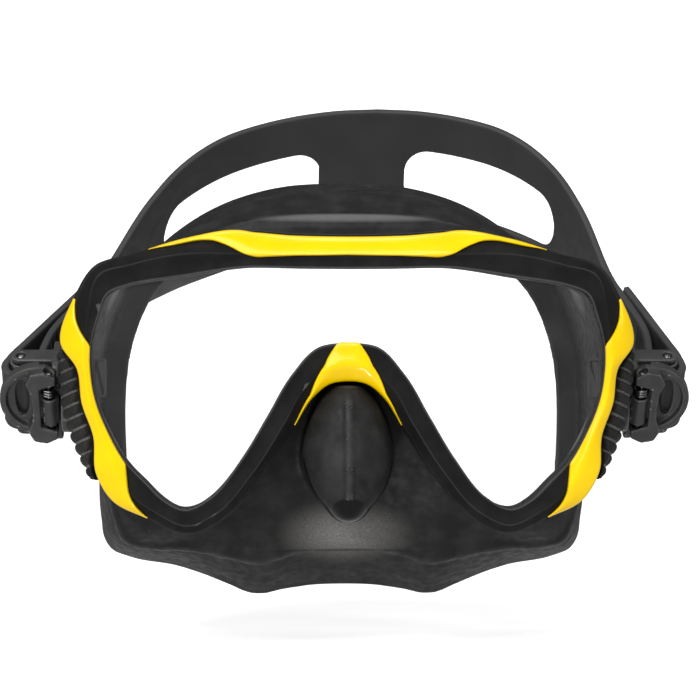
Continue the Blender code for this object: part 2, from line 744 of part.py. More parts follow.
def strap():
    """The strap as one closed sheet of even thickness whose back pad has two holes."""
    right = strap_path()
    path = [(-x, s) for x, s in reversed(right[1:])] + right
    lengths = [0.0]
    for a, b in zip(path, path[1:]):
        lengths.append(lengths[-1] + math.dist(a, b))
    middle = lengths[len(right) - 1]
    rows = []
    holes = []
    for i, (x, s) in enumerate(path):
        along = abs(lengths[i] - middle - PAD_SHIFT)
        ease = min(max((TAPER_END - along) / TAPER_LENGTH, 0.0), 1.0)
        ease = ease * ease * (3.0 - 2.0 * ease)
        half = STRAP_HALF + (PAD_HALF - STRAP_HALF) * ease
        inside = (along - BRIDGE_HALF) * (HOLE_END - along)
        end = min(along - BRIDGE_HALF, HOLE_END - along)
        hole = PAD_HOLE_HALF * math.sqrt(min(max(end, 0.4) / 9.0, 1.0)) * half / PAD_HALF
        holes.append(inside >= 0.0)
        a, b = path[max(i - 1, 0)], path[min(i + 1, len(path) - 1)]
        tx, ts = b[0] - a[0], b[1] - a[1]
        size = math.hypot(tx, ts)
        nx, ns = ts / size, -tx / size
        row = []
        for side in (0.5, -0.5):
            px, ps = x + nx * STRAP_THICK * side, s + ns * STRAP_THICK * side
            for w in (half, hole, -hole, -half):
                lean = STRAP_LEAN * max(ps, 0.0)
                row.append(SWIVEL + Vector((px + lean, 0.0, 0.0)) + BACK * ps + UP * w)
        rows.append(row)
    points = [p for row in rows for p in row]
    faces = []
    for i in range(len(rows) - 1):
        a, b = 8 * i, 8 * (i + 1)
        open_here = holes[i] and holes[i + 1]
        strips = (0, 2) if open_here else (0, 1, 2)
        for k in strips:
            faces.append((a + k, a + k + 1, b + k + 1, b + k))
            faces.append((a + 4 + k, b + 4 + k, b + 5 + k, a + 5 + k))
        faces.append((a, b, b + 4, a + 4))
        faces.append((a + 3, a + 7, b + 7, b + 3))
        if open_here:
            faces.append((a + 1, a + 5, b + 5, b + 1))
            faces.append((a + 2, b + 2, b + 6, a + 6))
        before = i > 0 and holes[i - 1] and holes[i]
        if open_here != before:
            faces.append((a + 1, a + 2, a + 6, a + 5))
    last = 8 * (len(rows) - 1)
    for k in range(3):
        faces.append((k, k + 1, k + 5, k + 4))
        faces.append((last + k, last + k + 4, last + k + 5, last + k + 1))
    return make("strap", "strap_silicone", points, faces, SWIVEL)


def shade_round():
    for thing in bpy.context.scene.objects:
        if thing.type == "MESH":
            thing.data.shade_smooth()
            thing.data.set_sharp_from_angle(angle=math.radians(35.0))


def main():
    for thing in list(bpy.data.objects):
        bpy.data.objects.remove(thing)
    front_frame()
    lens()
    retainer()
    skirt()
    trims()
    for side, sign in (("right", 1), ("left", -1)):
        side_grip(side, sign)
        side_lug(side, sign)
        buckle_housing(side, sign)
        roller(side, sign)
        release_lever(side, sign)
        lever_spring(side, sign)
    strap()
    shade_round()


main()
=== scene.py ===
"""Looks of the snorkel mask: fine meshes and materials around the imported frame, floor, lights and camera.

Lengths are millimetres in the constants and functions, and metres in the finished meshes.
Seen from the front +X is to the right, +Y points back to the face, and +Z is up.
"""

import json
import math

import bmesh
import bpy
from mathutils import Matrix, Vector


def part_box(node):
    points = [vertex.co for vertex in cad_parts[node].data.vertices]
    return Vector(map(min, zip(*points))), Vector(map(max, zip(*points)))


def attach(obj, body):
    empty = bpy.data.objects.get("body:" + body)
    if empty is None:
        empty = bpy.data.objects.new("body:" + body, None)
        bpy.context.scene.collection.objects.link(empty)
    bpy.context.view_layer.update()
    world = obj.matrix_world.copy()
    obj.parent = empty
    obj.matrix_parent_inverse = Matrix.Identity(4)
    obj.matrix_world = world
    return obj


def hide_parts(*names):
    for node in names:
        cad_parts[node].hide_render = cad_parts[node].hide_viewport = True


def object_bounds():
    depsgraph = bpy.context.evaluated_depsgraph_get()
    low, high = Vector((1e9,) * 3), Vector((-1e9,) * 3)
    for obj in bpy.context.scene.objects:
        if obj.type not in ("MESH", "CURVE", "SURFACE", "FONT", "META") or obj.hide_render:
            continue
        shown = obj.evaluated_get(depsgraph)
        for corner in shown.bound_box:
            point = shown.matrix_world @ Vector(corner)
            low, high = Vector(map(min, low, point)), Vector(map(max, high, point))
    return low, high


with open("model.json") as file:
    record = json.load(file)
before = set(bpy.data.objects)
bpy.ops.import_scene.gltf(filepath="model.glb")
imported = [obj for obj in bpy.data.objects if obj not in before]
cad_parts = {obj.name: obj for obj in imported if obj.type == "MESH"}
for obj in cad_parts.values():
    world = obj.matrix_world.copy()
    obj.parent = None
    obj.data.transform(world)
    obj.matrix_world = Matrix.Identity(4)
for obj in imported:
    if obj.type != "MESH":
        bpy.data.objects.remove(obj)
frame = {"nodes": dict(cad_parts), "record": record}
CAD_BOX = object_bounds()
RECORD = frame["record"]
BODY = {node: body for body, nodes in RECORD["behaviour"]["bodies"].items() for node in nodes}
SLOT = {part["node"]: part["material_slot"] for part in RECORD["subparts"]}
MM = 0.001

# ---- driving dimensions --------------------------------------------------------------------------
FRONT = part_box("front_frame")[0].y / MM
LENS_FRONT, LENS_BACK = (corner.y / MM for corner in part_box("lens"))
RETAINER_FRONT, RETAINER_BACK = (corner.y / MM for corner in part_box("retainer"))
FLANGE_FRONT = LENS_BACK + 0.3
FLANGE_BACK = RETAINER_FRONT - 0.3
FRAME_BACK = -54.0
LIP = 1.0
LENS_OVERLAP = 2.2
WALL_GAP = 0.3
RETAINER_IN = 1.3
SWEEP_START = 74.0
SWEEP_RATE = 0.03
STEPS = 12              # points between two stations of the frame

TRIM_HEIGHT = 1.6       # a trim's crown above the frame
TRIM_SUNK = 0.3
TRIM_ROUND = 0.5

NECK_OUT, NECK_IN = 1.05, 0.1
SKIRT_WALL = 1.7
SKIRT_STEP = 1.5        # how far the inner surface lies behind the outer one where the skirt is flat
SKIRT_SEGMENTS = 96
SKIRT_FINER = 3         # points of the fine skirt between two of the coarse outline
SKIRT_FLARE = [(0.0, 0.0), (0.34, 0.10), (0.62, 0.26), (0.80, 0.46), (0.91, 0.70), (0.98, 0.90)]
LIP_THICK = 2.0
LIP_WIDTH = 9.0
FACE_HALF = 75.0
FACE_CURVE = 14.0
SKIRT_VOXEL = 0.7

STRAP_TILT = math.radians(35.0)
SWIVEL = Vector((0.0, -31.0, 0.0))
BACK = Vector((0.0, math.cos(STRAP_TILT), math.sin(STRAP_TILT)))
UP = Vector((0.0, -math.sin(STRAP_TILT), math.cos(STRAP_TILT)))

# Half of the frame, from the top middle round to the nose arch: lens opening x, z; outer edge x, z;
# the place of the front ridge between them; how far the outer edge lies behind the ridge.
FRAME_STATIONS = [
    (0.0, 34.8, 0.0, 44.7, 0.36, 4.5),
    (15.0, 34.9, 16.0, 45.0, 0.36, 4.5),
    (29.5, 35.0, 31.0, 45.9, 0.36, 4.5),
    (48.8, 32.1, 48.0, 43.2, 0.60, 3.8),
    (62.9, 29.8, 61.5, 39.0, 0.66, 3.4),
    (68.8, 27.1, 72.6, 35.6, 0.66, 3.0),
    (71.2, 21.5, 78.6, 26.2, 0.40, 2.2),
    (73.4, 12.6, 82.4, 13.4, 0.20, 1.6),
    (73.4, 5.0, 77.6, 6.0, 0.40, 1.2),
    (72.0, -3.0, 76.2, -3.6, 0.40, 1.2),
    (68.6, -11.6, 72.9, -13.2, 0.40, 1.2),
    (63.1, -20.9, 72.0, -24.2, 0.40, 1.8),
    (57.9, -26.2, 67.4, -31.8, 0.50, 2.6),
    (52.2, -31.7, 57.7, -36.8, 0.60, 3.0),
    (45.7, -34.0, 46.0, -41.6, 0.64, 3.2),
    (39.3, -30.6, 37.0, -38.0, 0.64, 3.2),
    (30.8, -20.1, 25.5, -25.9, 0.64, 3.2),
    (23.2, -7.5, 15.8, -11.2, 0.64, 3.0),
    (16.0, 4.6, 10.2, -2.4, 0.60, 2.4),
    (8.6, 12.2, 5.2, 1.6, 0.60, 2.0),
    (0.0, 13.4, 0.0, 2.4, 0.60, 2.0),
]

# Trims on the frame's front: station, place of the near edge, place of the far edge (0 opening, 1 outside).
TOP_TRIM = [
    (0.0, 0.38, 0.93),
    (1.0, 0.34, 0.93),
    (1.75, 0.25, 0.94),
    (2.0, 0.34, 1.0),
    (2.2, 0.58, 1.02),
    (2.45, 0.79, 1.01),
    (2.7, 0.86, 1.0),
    (3.2, 0.88, 1.0),
    (3.7, 0.97, 1.0),
]
SIDE_TRIM = [
    (6.0, 0.93, 1.0),
    (6.4, 0.62, 1.0),
    (7.0, 0.02, 1.0),
    (11.0, 0.04, 1.0),
    (12.0, 0.50, 1.0),
    (13.0, 0.95, 1.0),
]
NOSE_TRIM = [
    (17.1, 0.96, 1.0),
    (18.0, 0.86, 1.0),
    (19.0, 0.50, 1.0),
    (19.5, 0.12, 1.0),
    (19.65, -0.02, 1.0),
    (20.0, -0.02, 1.0),
]

# Half of the face seal's outline, from the forehead round to the upper lip.
SEAL_STATIONS = [
    (0.0, 62.4),
    (21.0, 61.0),
    (39.6, 55.0),
    (53.0, 46.4),
    (66.0, 33.0),
    (73.6, 15.0),
    (76.0, -5.0),
    (75.4, -25.0),
    (74.8, -40.0),
    (72.5, -49.5),
    (64.0, -53.0),
    (52.0, -54.8),
    (43.0, -57.4),
    (34.0, -60.9),
    (27.0, -63.4),
    (19.0, -62.0),
    (10.0, -60.6),
    (0.0, -60.2),
]

# The moulded bead round the skirt: share of the way round one half, place between neck and seal,
# half width and height.
BEAD = [
    (0.00, 0.53, 0.055, 1.5),
    (0.14, 0.53, 0.050, 1.4),
    (0.22, 0.60, 0.040, 0.6),
    (0.60, 0.66, 0.045, 0.8),
    (0.70, 0.72, 0.045, 1.2),
    (0.80, 0.78, 0.040, 1.4),
    (1.00, 0.80, 0.030, 1.2),
]

# Nose pocket sections from top to bottom: height, half width, foremost y.
NOSE_SECTIONS = [
    (1.2, 4.6, -66.0),
    (-2.0, 7.4, -68.2),
    (-8.0, 10.6, -70.2),
    (-16.0, 12.9, -71.8),
    (-22.0, 13.0, -72.8),
    (-28.0, 11.0, -73.0),
    (-33.0, 7.6, -72.4),
    (-36.5, 5.0, -70.4),
    (-38.0, 3.2, -67.0),
]
NOSE_BACK = -42.0
NOSE_ROUND = 12.0
WINDOW = (-2.2, 9.0, 69.4, 73.3)    # low and high z, inner and outer x
WINDOW_FRONT = -60.0
NOSE_RIB_HALF = 1.2
NOSE_RIB_HEIGHT = 0.8

GRIP_OUTLINE = [(11.5, 83.2), (-2.5, 82.4), (-12.0, 80.0), (-20.8, 76.4), (-26.0, 73.6)]
GRIP_RIBS = 11
RIB_HEIGHT = 1.1
GRIP_FRONT = -59.4
GRIP_BACK = -48.0

STRAP_THICK = 2.4
STRAP_HALF = 10.0
PAD_HALF = 26.0
PAD_HOLE_HALF = 11.5
PAD_RADIUS = 74.4
PAD_CENTRE = 48.6
LEG_ANGLE = math.radians(66.7)
BRIDGE_HALF = 14.3
PAD_SHIFT = -4.7
HOLE_END = 78.2
TAPER_END = 131.0
TAPER_LENGTH = 88.0
HOLE_ROUND = 9.0
STRAP_LEAN = 0.114
STRAP_SPACING = 0.55
STRAP_ROUND = 0.8
TOOTH_PITCH = 3.3
TOOTH_HEIGHT = 0.5
TEETH_FROM = 148.0
ROLLER_X, ROLLER_D, ROLLER_R = 95.8, -2.0, 3.2      # outwards, back along the strap, radius
LEVER_X, LEVER_D, LEVER_W = 87.0, -13.2, 3.5        # outwards, back along and across the strap

# Buckle pieces shaped from the CAD: node, voxel of the remesh, smoothing passes.
BUCKLE_PIECES = [
    ("lug", 0.35, 6),
    ("buckle_housing", 0.28, 20),
    ("roller", 0.28, 3),
    ("release_lever", 0.24, 24),
]
PIN_RADIUS = 1.1
LEVER_PIN_HALF, ROLLER_PIN_HALF = 11.4, 13.5
RIVET_RADIUS = 2.4
RIVET_HEAD_HEIGHT = 1.4
# The rivet's domed and dimpled head: distance from the head's underside, radius.
RIVET_HEAD = [(0.0, 3.7), (0.3, 4.0), (0.7, 3.9), (1.1, 3.2), (1.35, 2.0), (1.4, 1.5), (1.0, 1.1), (0.9, 0.3)]
SPRING_TURNS = 3
SPRING_WIRE = 0.35
SPRING_RADIUS = 1.95
SPRING_FROM, SPRING_TO = LEVER_W + 3.55, LEVER_W + 6.2

# ---- places of dust, polish, painted shade, painted sheen and painted highlights: centre and radii of an ellipsoid ---
GRIP_AREA = ((82.0, -54.0, -7.0), (14.0, 16.0, 30.0))
INNER_FLANK_SHEEN = ((67.0, -45.0, 0.0), (4.8, 15.0, 37.0))
BROW_GROOVE_SHADE = ((0.0, -53.0, 45.6), (58.0, 9.0, 3.2))
BROW_CREST_HIGHLIGHT = ((0.0, -51.0, 50.4), (44.0, 12.0, 2.0))
CHIN_DUST = ((0.0, -50.0, -43.5), (24.0, 50.0, 13.0))
CHIN_CREASE_SHADE = ((0.0, -42.0, -48.4), (34.0, 20.0, 0.8))
NOSE_TIP = ((0.0, -69.5, -34.2), (6.0, 8.0, 4.9))
# NOSE_RIM, NOSE_FACE and NOSE_LOWER mark the slots beside the nose pocket, painted dark as shade.
NOSE_RIM = ((0.0, -60.0, -14.0), (15.6, 60.0, 24.6))
NOSE_FACE = ((0.0, -60.0, -14.0), (13.3, 60.0, 22.4))
NOSE_LOWER = ((0.0, -66.0, -30.0), (26.0, 12.0, 14.0))

# ---- studio: lengths of the lights and camera are metres -----------------------------------------
FLOOR_DROP = 14.0
SWEEP_HALF, SWEEP_DEPTH, SWEEP_BEND, SWEEP_TOP = 4000.0, 3000.0, 1500.0, 5000.0
PAPER_GLOW = 0.60
SUN_STRENGTH, SUN_ANGLE, SUN_PLACE = 2.6, math.radians(50.0), (-0.35, -1.2, 0.80)
FILL_ABOVE, FILL_BELOW = 0.18, 0.70
# Area lights: name, place, target, width, height, power.
AREA_LIGHTS = [
    ("left_softbox", (-0.70, -1.00, 0.70), (0.0, -0.04, 0.02), 0.24, 0.16, 3.2),
    ("right_strip", (0.85, -0.55, 0.45), (0.0, -0.05, 0.0), 0.10, 0.60, 2.0),
    ("top_strip", (0.0, -0.10, 0.90), (0.0, 0.0, 0.0), 0.70, 0.15, 2.0),
    ("low_window", (-0.14, -0.50, -0.46), (0.0, -0.06, -0.03), 0.09, 0.06, 0.8),
]
CAMERA_AIM, CAMERA_YAW, CAMERA_DISTANCE = Vector((0.0004, -0.066, 0.0114)), math.radians(-2.0), 0.7
CAMERA_LENS, CAMERA_SENSOR = 126.0, 36.0


# ---- materials -----------------------------------------------------------------------------------
class Graph:
    """A material whose nodes are built step by step round its Principled BSDF."""

    def __init__(self, name, roughness, **constants):
        self.material = bpy.data.materials.new(name)
        self.material.use_nodes = True
        self.tree = self.material.node_tree
        self.shader = self.tree.nodes["Principled BSDF"]
        self.place = self.add("ShaderNodeTexCoord").outputs["Object"]
        self.shader.inputs["Roughness"].default_value = roughness
        for socket, value in constants.items():
            self.shader.inputs[socket.replace("_", " ")].default_value = value

    def add(self, kind, **settings):
        node = self.tree.nodes.new(kind)
        for setting, value in settings.items():
            setattr(node, setting, value)
        return node

    def fill(self, socket, value):
        if isinstance(value, bpy.types.NodeSocket):
            self.tree.links.new(value, socket)
        else:
            socket.default_value = value

    def noise(self, size, detail=3.0, stretch=None):
        """Noise whose features are about that many millimetres across."""
        node = self.add("ShaderNodeTexNoise")
        self.fill(node.inputs["Scale"], 1.0 / (size * MM))
        self.fill(node.inputs["Detail"], detail)
        vector = self.place
        if stretch:
            mapping = self.add("ShaderNodeMapping")
            self.fill(mapping.inputs["Vector"], self.place)
            mapping.inputs["Scale"].default_value = stretch
            vector = mapping.outputs["Vector"]
        self.fill(node.inputs["Vector"], vector)
        return node.outputs["Fac"]

    def spread(self, value, low, high, start=0.0, end=1.0):
        """The value from low to high turned smoothly into start to end."""
        node = self.add("ShaderNodeMapRange", interpolation_type="SMOOTHSTEP")
        for socket, number in zip(node.inputs, (value, low, high, start, end)):
            self.fill(socket, number)
        return node.outputs["Result"]

    def maths(self, operation, a, b):
        node = self.add("ShaderNodeMath", operation=operation)
        self.fill(node.inputs[0], a)
        self.fill(node.inputs[1], b)
        return node.outputs[0]

    def mix(self, factor, a, b):
        node = self.add("ShaderNodeMix", data_type="RGBA")
        self.fill(node.inputs[0], factor)
        self.fill(node.inputs[6], a)
        self.fill(node.inputs[7], b)
        return node.outputs[2]

    def near(self, centre, radii):
        """1 at the centre of an ellipsoid in millimetres, falling to 0 at its surface."""
        shift = self.add("ShaderNodeVectorMath", operation="SUBTRACT")
        self.fill(shift.inputs[0], self.place)
        shift.inputs[1].default_value = [v * MM for v in centre]
        scale = self.add("ShaderNodeVectorMath", operation="DIVIDE")
        self.fill(scale.inputs[0], shift.outputs[0])
        scale.inputs[1].default_value = [v * MM for v in radii]
        length = self.add("ShaderNodeVectorMath", operation="LENGTH")
        self.fill(length.inputs[0], scale.outputs[0])
        return self.maths("SUBTRACT", 1.0, length.outputs["Value"])

    def near_both(self, centre, radii):
        """The same for an ellipsoid on each side of the middle plane."""
        x, y, z = centre
        return self.maths("MAXIMUM", self.near(centre, radii), self.near((-x, y, z), radii))

    def edges(self, low, high):
        """1 on the rounded outer edges of a fine mesh."""
        pointiness = self.add("ShaderNodeNewGeometry").outputs["Pointiness"]
        return self.spread(pointiness, low, high)

    def bump(self, layers):
        """Height layers of (value, millimetres), one after the other."""
        normal = None
        for value, height in layers:
            node = self.add("ShaderNodeBump")
            self.fill(node.inputs["Height"], value)
            node.inputs["Distance"].default_value = height * MM
            if normal:
                self.fill(node.inputs["Normal"], normal)
            normal = node.outputs["Normal"]
        self.fill(self.shader.inputs["Normal"], normal)

    def finish(self, colour, roughness=None):
        self.fill(self.shader.inputs["Base Color"], colour)
        if roughness is not None:
            self.fill(self.shader.inputs["Roughness"], roughness)
        return self.material


def grey(value, warmth=0.0):
    return (value * (1.0 + warmth), value, value * (1.0 - warmth), 1.0)


def specks(graph, size, amount):
    """Sparse dust specks: 1 on each speck."""
    cells = graph.add("ShaderNodeTexVoronoi")
    graph.fill(cells.inputs["Vector"], graph.place)
    graph.fill(cells.inputs["Scale"], 1.0 / (size * MM))
    chosen = graph.spread(cells.outputs["Color"], 1.0 - amount, 1.0 - amount + 0.01)
    small = graph.spread(cells.outputs["Distance"], 0.20, 0.10)
    return graph.maths("MULTIPLY", chosen, small)


def soft_black():
    """Soft-touch matt plastic of the frame and grips."""
    g = Graph("soft_black_plastic", 0.62, IOR=1.45, Specular_IOR_Level=0.11)
    blotch = g.noise(9.0)
    grain = g.noise(0.22, 2.0)
    colour = g.mix(g.spread(blotch, 0.35, 0.7), grey(0.006), grey(0.010, 0.02))
    # Painted highlight: the rounded edges painted pale grey.
    colour = g.mix(g.maths("MULTIPLY", g.edges(0.505, 0.54), 0.8), colour, grey(0.07))
    # Dust on the grips' rolls, made paler on their crests as a painted highlight.
    on_grips = g.spread(g.near_both(*GRIP_AREA), 0.1, 0.3)
    ridge_dust_and_highlight = g.maths("MULTIPLY", on_grips, g.spread(g.noise(0.4, 4.0), 0.35, 0.75, 0.30, 0.70))
    ridge_dust_and_highlight = g.maths("MULTIPLY", ridge_dust_and_highlight, g.spread(g.edges(0.49, 0.52), 0.0, 1.0, 0.15, 1.0))
    colour = g.mix(ridge_dust_and_highlight, colour, grey(0.20, 0.03))
    colour = g.mix(specks(g, 2.4, 0.05), colour, grey(0.16, 0.08))
    g.bump([(grain, 0.018), (g.noise(1.1), 0.02)])
    return g.finish(colour, g.spread(g.noise(3.0), 0.3, 0.7, 0.54, 0.70))


def skirt_silicone():
    """Matt black silicone, dusty below the nose and glossy at the pocket's tip; with painted pale highlights
    on its edges and brow crest, a painted sheen on the inner flanks, painted shade in the brow groove and
    chin crease, and glossy slots beside the tip painted dark as shade.
    """
    g = Graph("skirt_silicone", 0.5, IOR=1.42, Specular_IOR_Level=0.22)
    dusty = g.spread(g.noise(0.4, 4.0), 0.3, 0.75, 0.55, 1.0)
    around = g.spread(g.near(*CHIN_DUST), 0.0, 1.0)
    film = g.maths("MULTIPLY", g.spread(g.noise(7.0), 0.38, 0.72), 0.05)
    dust = g.maths("MULTIPLY", dusty, g.maths("MAXIMUM", around, film))
    colour = g.mix(g.spread(g.noise(12.0), 0.35, 0.7), grey(0.008), grey(0.013))
    # Painted highlight: the rounded edges painted pale grey.
    colour = g.mix(g.maths("MULTIPLY", g.edges(0.515, 0.56), 0.6), colour, grey(0.11))
    # Painted sheen: the inner flanks behind the lens painted light grey, standing in for reflected light.
    colour = g.mix(g.spread(g.near_both(*INNER_FLANK_SHEEN), 0.0, 0.3), colour, grey(0.36))
    # Painted shade: the groove between the frame and the brow painted near black.
    colour = g.mix(g.spread(g.near(*BROW_GROOVE_SHADE), 0.0, 0.4), colour, grey(0.002))
    # Painted highlight: the brow crest painted lighter grey.
    colour = g.mix(g.spread(g.near(*BROW_CREST_HIGHLIGHT), 0.0, 0.6), colour, grey(0.10))
    colour = g.mix(dust, colour, grey(0.26, 0.04))
    colour = g.mix(specks(g, 1.6, 0.06), colour, (0.20, 0.15, 0.09, 1.0))
    # Painted shade: the chin crease painted near black.
    colour = g.mix(g.spread(g.near(*CHIN_CREASE_SHADE), 0.0, 0.9), colour, grey(0.002))
    tip = g.spread(g.near(*NOSE_TIP), 0.12, 0.22)
    # The slots beside the nose pocket, a ring between its rim and its face in the lower part, painted near
    # black as shade.
    rim = g.spread(g.near(*NOSE_RIM), 0.0, 0.03)
    pocket = g.spread(g.near(*NOSE_FACE), 0.0, 0.03)
    lower = g.spread(g.near(*NOSE_LOWER), 0.0, 0.15)
    slot_shade = g.maths("MULTIPLY", g.maths("SUBTRACT", rim, pocket), lower)
    # The glossy tip and the slots: smoother, and painted near black, which in the slots is painted shade.
    gloss_and_slot_shade = g.maths("MAXIMUM", tip, slot_shade)
    colour = g.mix(gloss_and_slot_shade, colour, grey(0.004))
    matt = g.spread(g.noise(2.5), 0.3, 0.7, 0.44, 0.62)
    roughness = g.add("ShaderNodeMix")
    for index, value in ((0, gloss_and_slot_shade), (2, matt), (3, 0.10)):
        g.fill(roughness.inputs[index], value)
    g.bump([(g.noise(0.3, 3.0), 0.012), (g.noise(2.4), 0.012)])
    return g.finish(colour, roughness.outputs[0])


def strap_silicone():
    """Even dark grey silicone with a fine moulded grain."""
    g = Graph("strap_silicone_matt", 0.5, IOR=1.42, Specular_IOR_Level=0.3)
    colour = g.mix(g.spread(g.noise(16.0), 0.3, 0.7), grey(0.034), grey(0.040))
    # Painted highlight: the rounded edges painted lighter grey.
    colour = g.mix(g.maths("MULTIPLY", g.edges(0.51, 0.55), 0.3), colour, grey(0.07))
    colour = g.mix(specks(g, 3.2, 0.04), colour, grey(0.10, 0.08))
    g.bump([(g.noise(0.25, 2.0), 0.010), (g.noise(2.0), 0.015)])
    return g.finish(colour, g.spread(g.noise(4.0), 0.3, 0.7, 0.46, 0.60))


def yellow():
    """Glossy moulded yellow with a faint orange-peel surface and a clear, hard gloss."""
    gloss = {"IOR": 1.45, "Specular_IOR_Level": 0.2, "Coat_Weight": 0.25, "Coat_Roughness": 0.05}
    g = Graph("yellow_plastic", 0.2, **gloss)
    colour = g.mix(g.spread(g.noise(11.0), 0.3, 0.7), (0.86, 0.56, 0.0, 1.0), (0.90, 0.60, 0.0, 1.0))
    # Painted highlight: the rounded edges painted a brighter yellow.
    colour = g.mix(g.maths("MULTIPLY", g.edges(0.52, 0.58), 0.35), colour, (1.0, 0.74, 0.05, 1.0))
    g.bump([(g.noise(1.8, 1.0), 0.006), (g.noise(0.3, 1.0), 0.001)])
    return g.finish(colour, g.spread(g.noise(1.5), 0.3, 0.7, 0.16, 0.26))


def glass():
    """Clear tempered glass: a faint mirror that grows towards grazing angles, with a trace of smears."""
    g = Graph("lens_glass", 0.25, Metallic=1.0)
    fresnel = g.add("ShaderNodeFresnel").outputs["Fac"]
    smear = g.spread(g.noise(14.0, 4.0), 0.5, 0.8, 0.0, 0.012)
    g.fill(g.shader.inputs["Alpha"], g.maths("ADD", g.maths("MULTIPLY", fresnel, 0.9), smear))
    g.bump([(g.noise(40.0, 1.0), 0.002)])
    colour = g.mix(g.noise(30.0), grey(0.80), grey(0.85))
    return g.finish(colour, g.spread(g.noise(9.0), 0.4, 0.8, 0.22, 0.30))


def buckle_plastic():
    """Satin grey-black nylon with its rounded edges painted pale as a highlight."""
    g = Graph("buckle_nylon", 0.42, IOR=1.5, Specular_IOR_Level=0.4)
    colour = g.mix(g.spread(g.noise(5.0), 0.3, 0.7), grey(0.024), grey(0.034, 0.02))
    # Painted highlight: the rounded edges painted pale grey.
    colour = g.mix(g.maths("MULTIPLY", g.edges(0.51, 0.57), 0.8), colour, grey(0.19, 0.03))
    colour = g.mix(specks(g, 1.5, 0.05), colour, grey(0.22, 0.06))
    g.bump([(g.noise(0.25, 2.0), 0.012), (g.noise(1.2), 0.015)])
    return g.finish(colour, g.spread(g.noise(1.8), 0.3, 0.7, 0.34, 0.50))


def steel():
    """Blackened stainless steel with turning marks."""
    g = Graph("stainless_steel", 0.28, Metallic=1.0)
    lines = g.noise(0.12, 2.0, stretch=(1.0, 1.0, 9.0))
    g.bump([(lines, 0.004)])
    colour = g.mix(g.spread(g.noise(2.0), 0.3, 0.7), grey(0.12), grey(0.17))
    return g.finish(colour, g.spread(lines, 0.3, 0.7, 0.2, 0.36))


def white_paper():
    """The studio's white sweep, bright enough to read as white."""
    glow = {"Emission_Color": (1.0, 1.0, 1.0, 1.0), "Emission_Strength": PAPER_GLOW}
    g = Graph("white_paper", 0.95, Specular_IOR_Level=0.05, **glow)
    g.bump([(g.noise(2.0), 0.005)])
    return g.finish(g.mix(g.noise(300.0), grey(0.84), grey(0.86)))


MATERIALS = {
    "soft_black": soft_black(),
    "silicone": skirt_silicone(),
    "strap_silicone": strap_silicone(),
    "yellow": yellow(),
    "glass": glass(),
    "buckle_plastic": buckle_plastic(),
    "steel": steel(),
}


# ---- curves and outlines -------------------------------------------------------------------------
def smooth(points, steps, closed):
    """A curve through points of any number of coordinates, with that many steps between two of them."""
    count = len(points)

    def at(i):
        return points[i % count] if closed else points[min(max(i, 0), count - 1)]

    def gap(i):
        return max(math.dist(at(i), at(i + 1)), 1e-6)

    def slope(i):
        if not closed and i in (0, count - 1):
            j = min(i, count - 2)
            return [(b - a) / gap(j) for a, b in zip(at(j), at(j + 1))]
        before, after = gap(i - 1), gap(i)
        return [
            ((c - b) / after * before + (b - a) / before * after) / (before + after)
            for a, b, c in zip(at(i - 1), at(i), at(i + 1))
        ]

    curve = []
    for i in range(count if closed else count - 1):
        length, start, end = gap(i), slope(i), slope(i + 1)
        for k in range(steps):
            t = k / steps
            h = (2 * t**3 - 3 * t**2 + 1, t**3 - 2 * t**2 + t, -2 * t**3 + 3 * t**2, t**3 - t**2)
            curve.append(
                [
                    h[0] * a + h[1] * length * m + h[2] * b + h[3] * length * n
                    for a, m, b, n in zip(at(i), start, at(i + 1), end)
                ]
            )
    if not closed:
        curve.append(list(at(count - 1)))
    return curve


def mirrored(half, x_places):
    """The whole closed outline from its right half, whose first and last points lie on the middle plane."""
    left = [tuple(-v if i in x_places else v for i, v in enumerate(p)) for p in reversed(half[1:-1])]
    return list(half) + left


def offset(loop, distance):
    """A clockwise closed outline of (x, z) points moved outwards."""
    count, moved = len(loop), []
    for i, (x, z) in enumerate(loop):
        before, after = loop[i - 1], loop[(i + 1) % count]
        tx, tz = after[0] - before[0], after[1] - before[1]
        length = math.hypot(tx, tz)
        moved.append((x - tz / length * distance, z + tx / length * distance))
    return moved


def table(rows, place):
    """The values of a table of rows at a place along its first column."""
    place = min(max(place, rows[0][0]), rows[-1][0])
    for a, b in zip(rows, rows[1:]):
        if place <= b[0]:
            t = (place - a[0]) / (b[0] - a[0])
            return [p + (q - p) * t for p, q in zip(a[1:], b[1:])]
    return list(rows[-1][1:])


def eased(rows, place, reach):
    """A table's values averaged over a stretch of places, which rounds its corners."""
    samples = [table(rows, place + reach * k / 4.0) for k in range(-4, 5)]
    return [sum(values) / len(samples) for values in zip(*samples)]


def rounded_box(x0, x1, z0, z1, radius, steps=5):
    """A rectangle's outline with rounded corners."""
    radius = max(radius, 0.05)
    left, right, low, high = x0 + radius, x1 - radius, z0 + radius, z1 - radius
    points = []
    for quarter, (cx, cz) in enumerate(((right, high), (left, high), (left, low), (right, low))):
        for k in range(steps + 1):
            angle = math.pi / 2 * (quarter + k / steps)
            points.append((cx + radius * math.cos(angle), cz + radius * math.sin(angle)))
    return points


def with_lengths(path):
    """Rows of (length so far, point...) along a path."""
    rows, length = [(0.0, *path[0])], 0.0
    for a, b in zip(path, path[1:]):
        length += math.dist(a, b)
        rows.append((length, *b))
    return rows


def evenly(path, count):
    """That many steps of equal length along a path."""
    rows, found, i = with_lengths(path), [], 0
    for k in range(count + 1):
        target = rows[-1][0] * k / count
        while i < len(rows) - 2 and rows[i + 1][0] < target:
            i += 1
        a, b = rows[i], rows[i + 1]
        t = (target - a[0]) / max(b[0] - a[0], 1e-9)
        found.append(tuple(p + (q - p) * t for p, q in zip(a[1:], b[1:])))
    return found


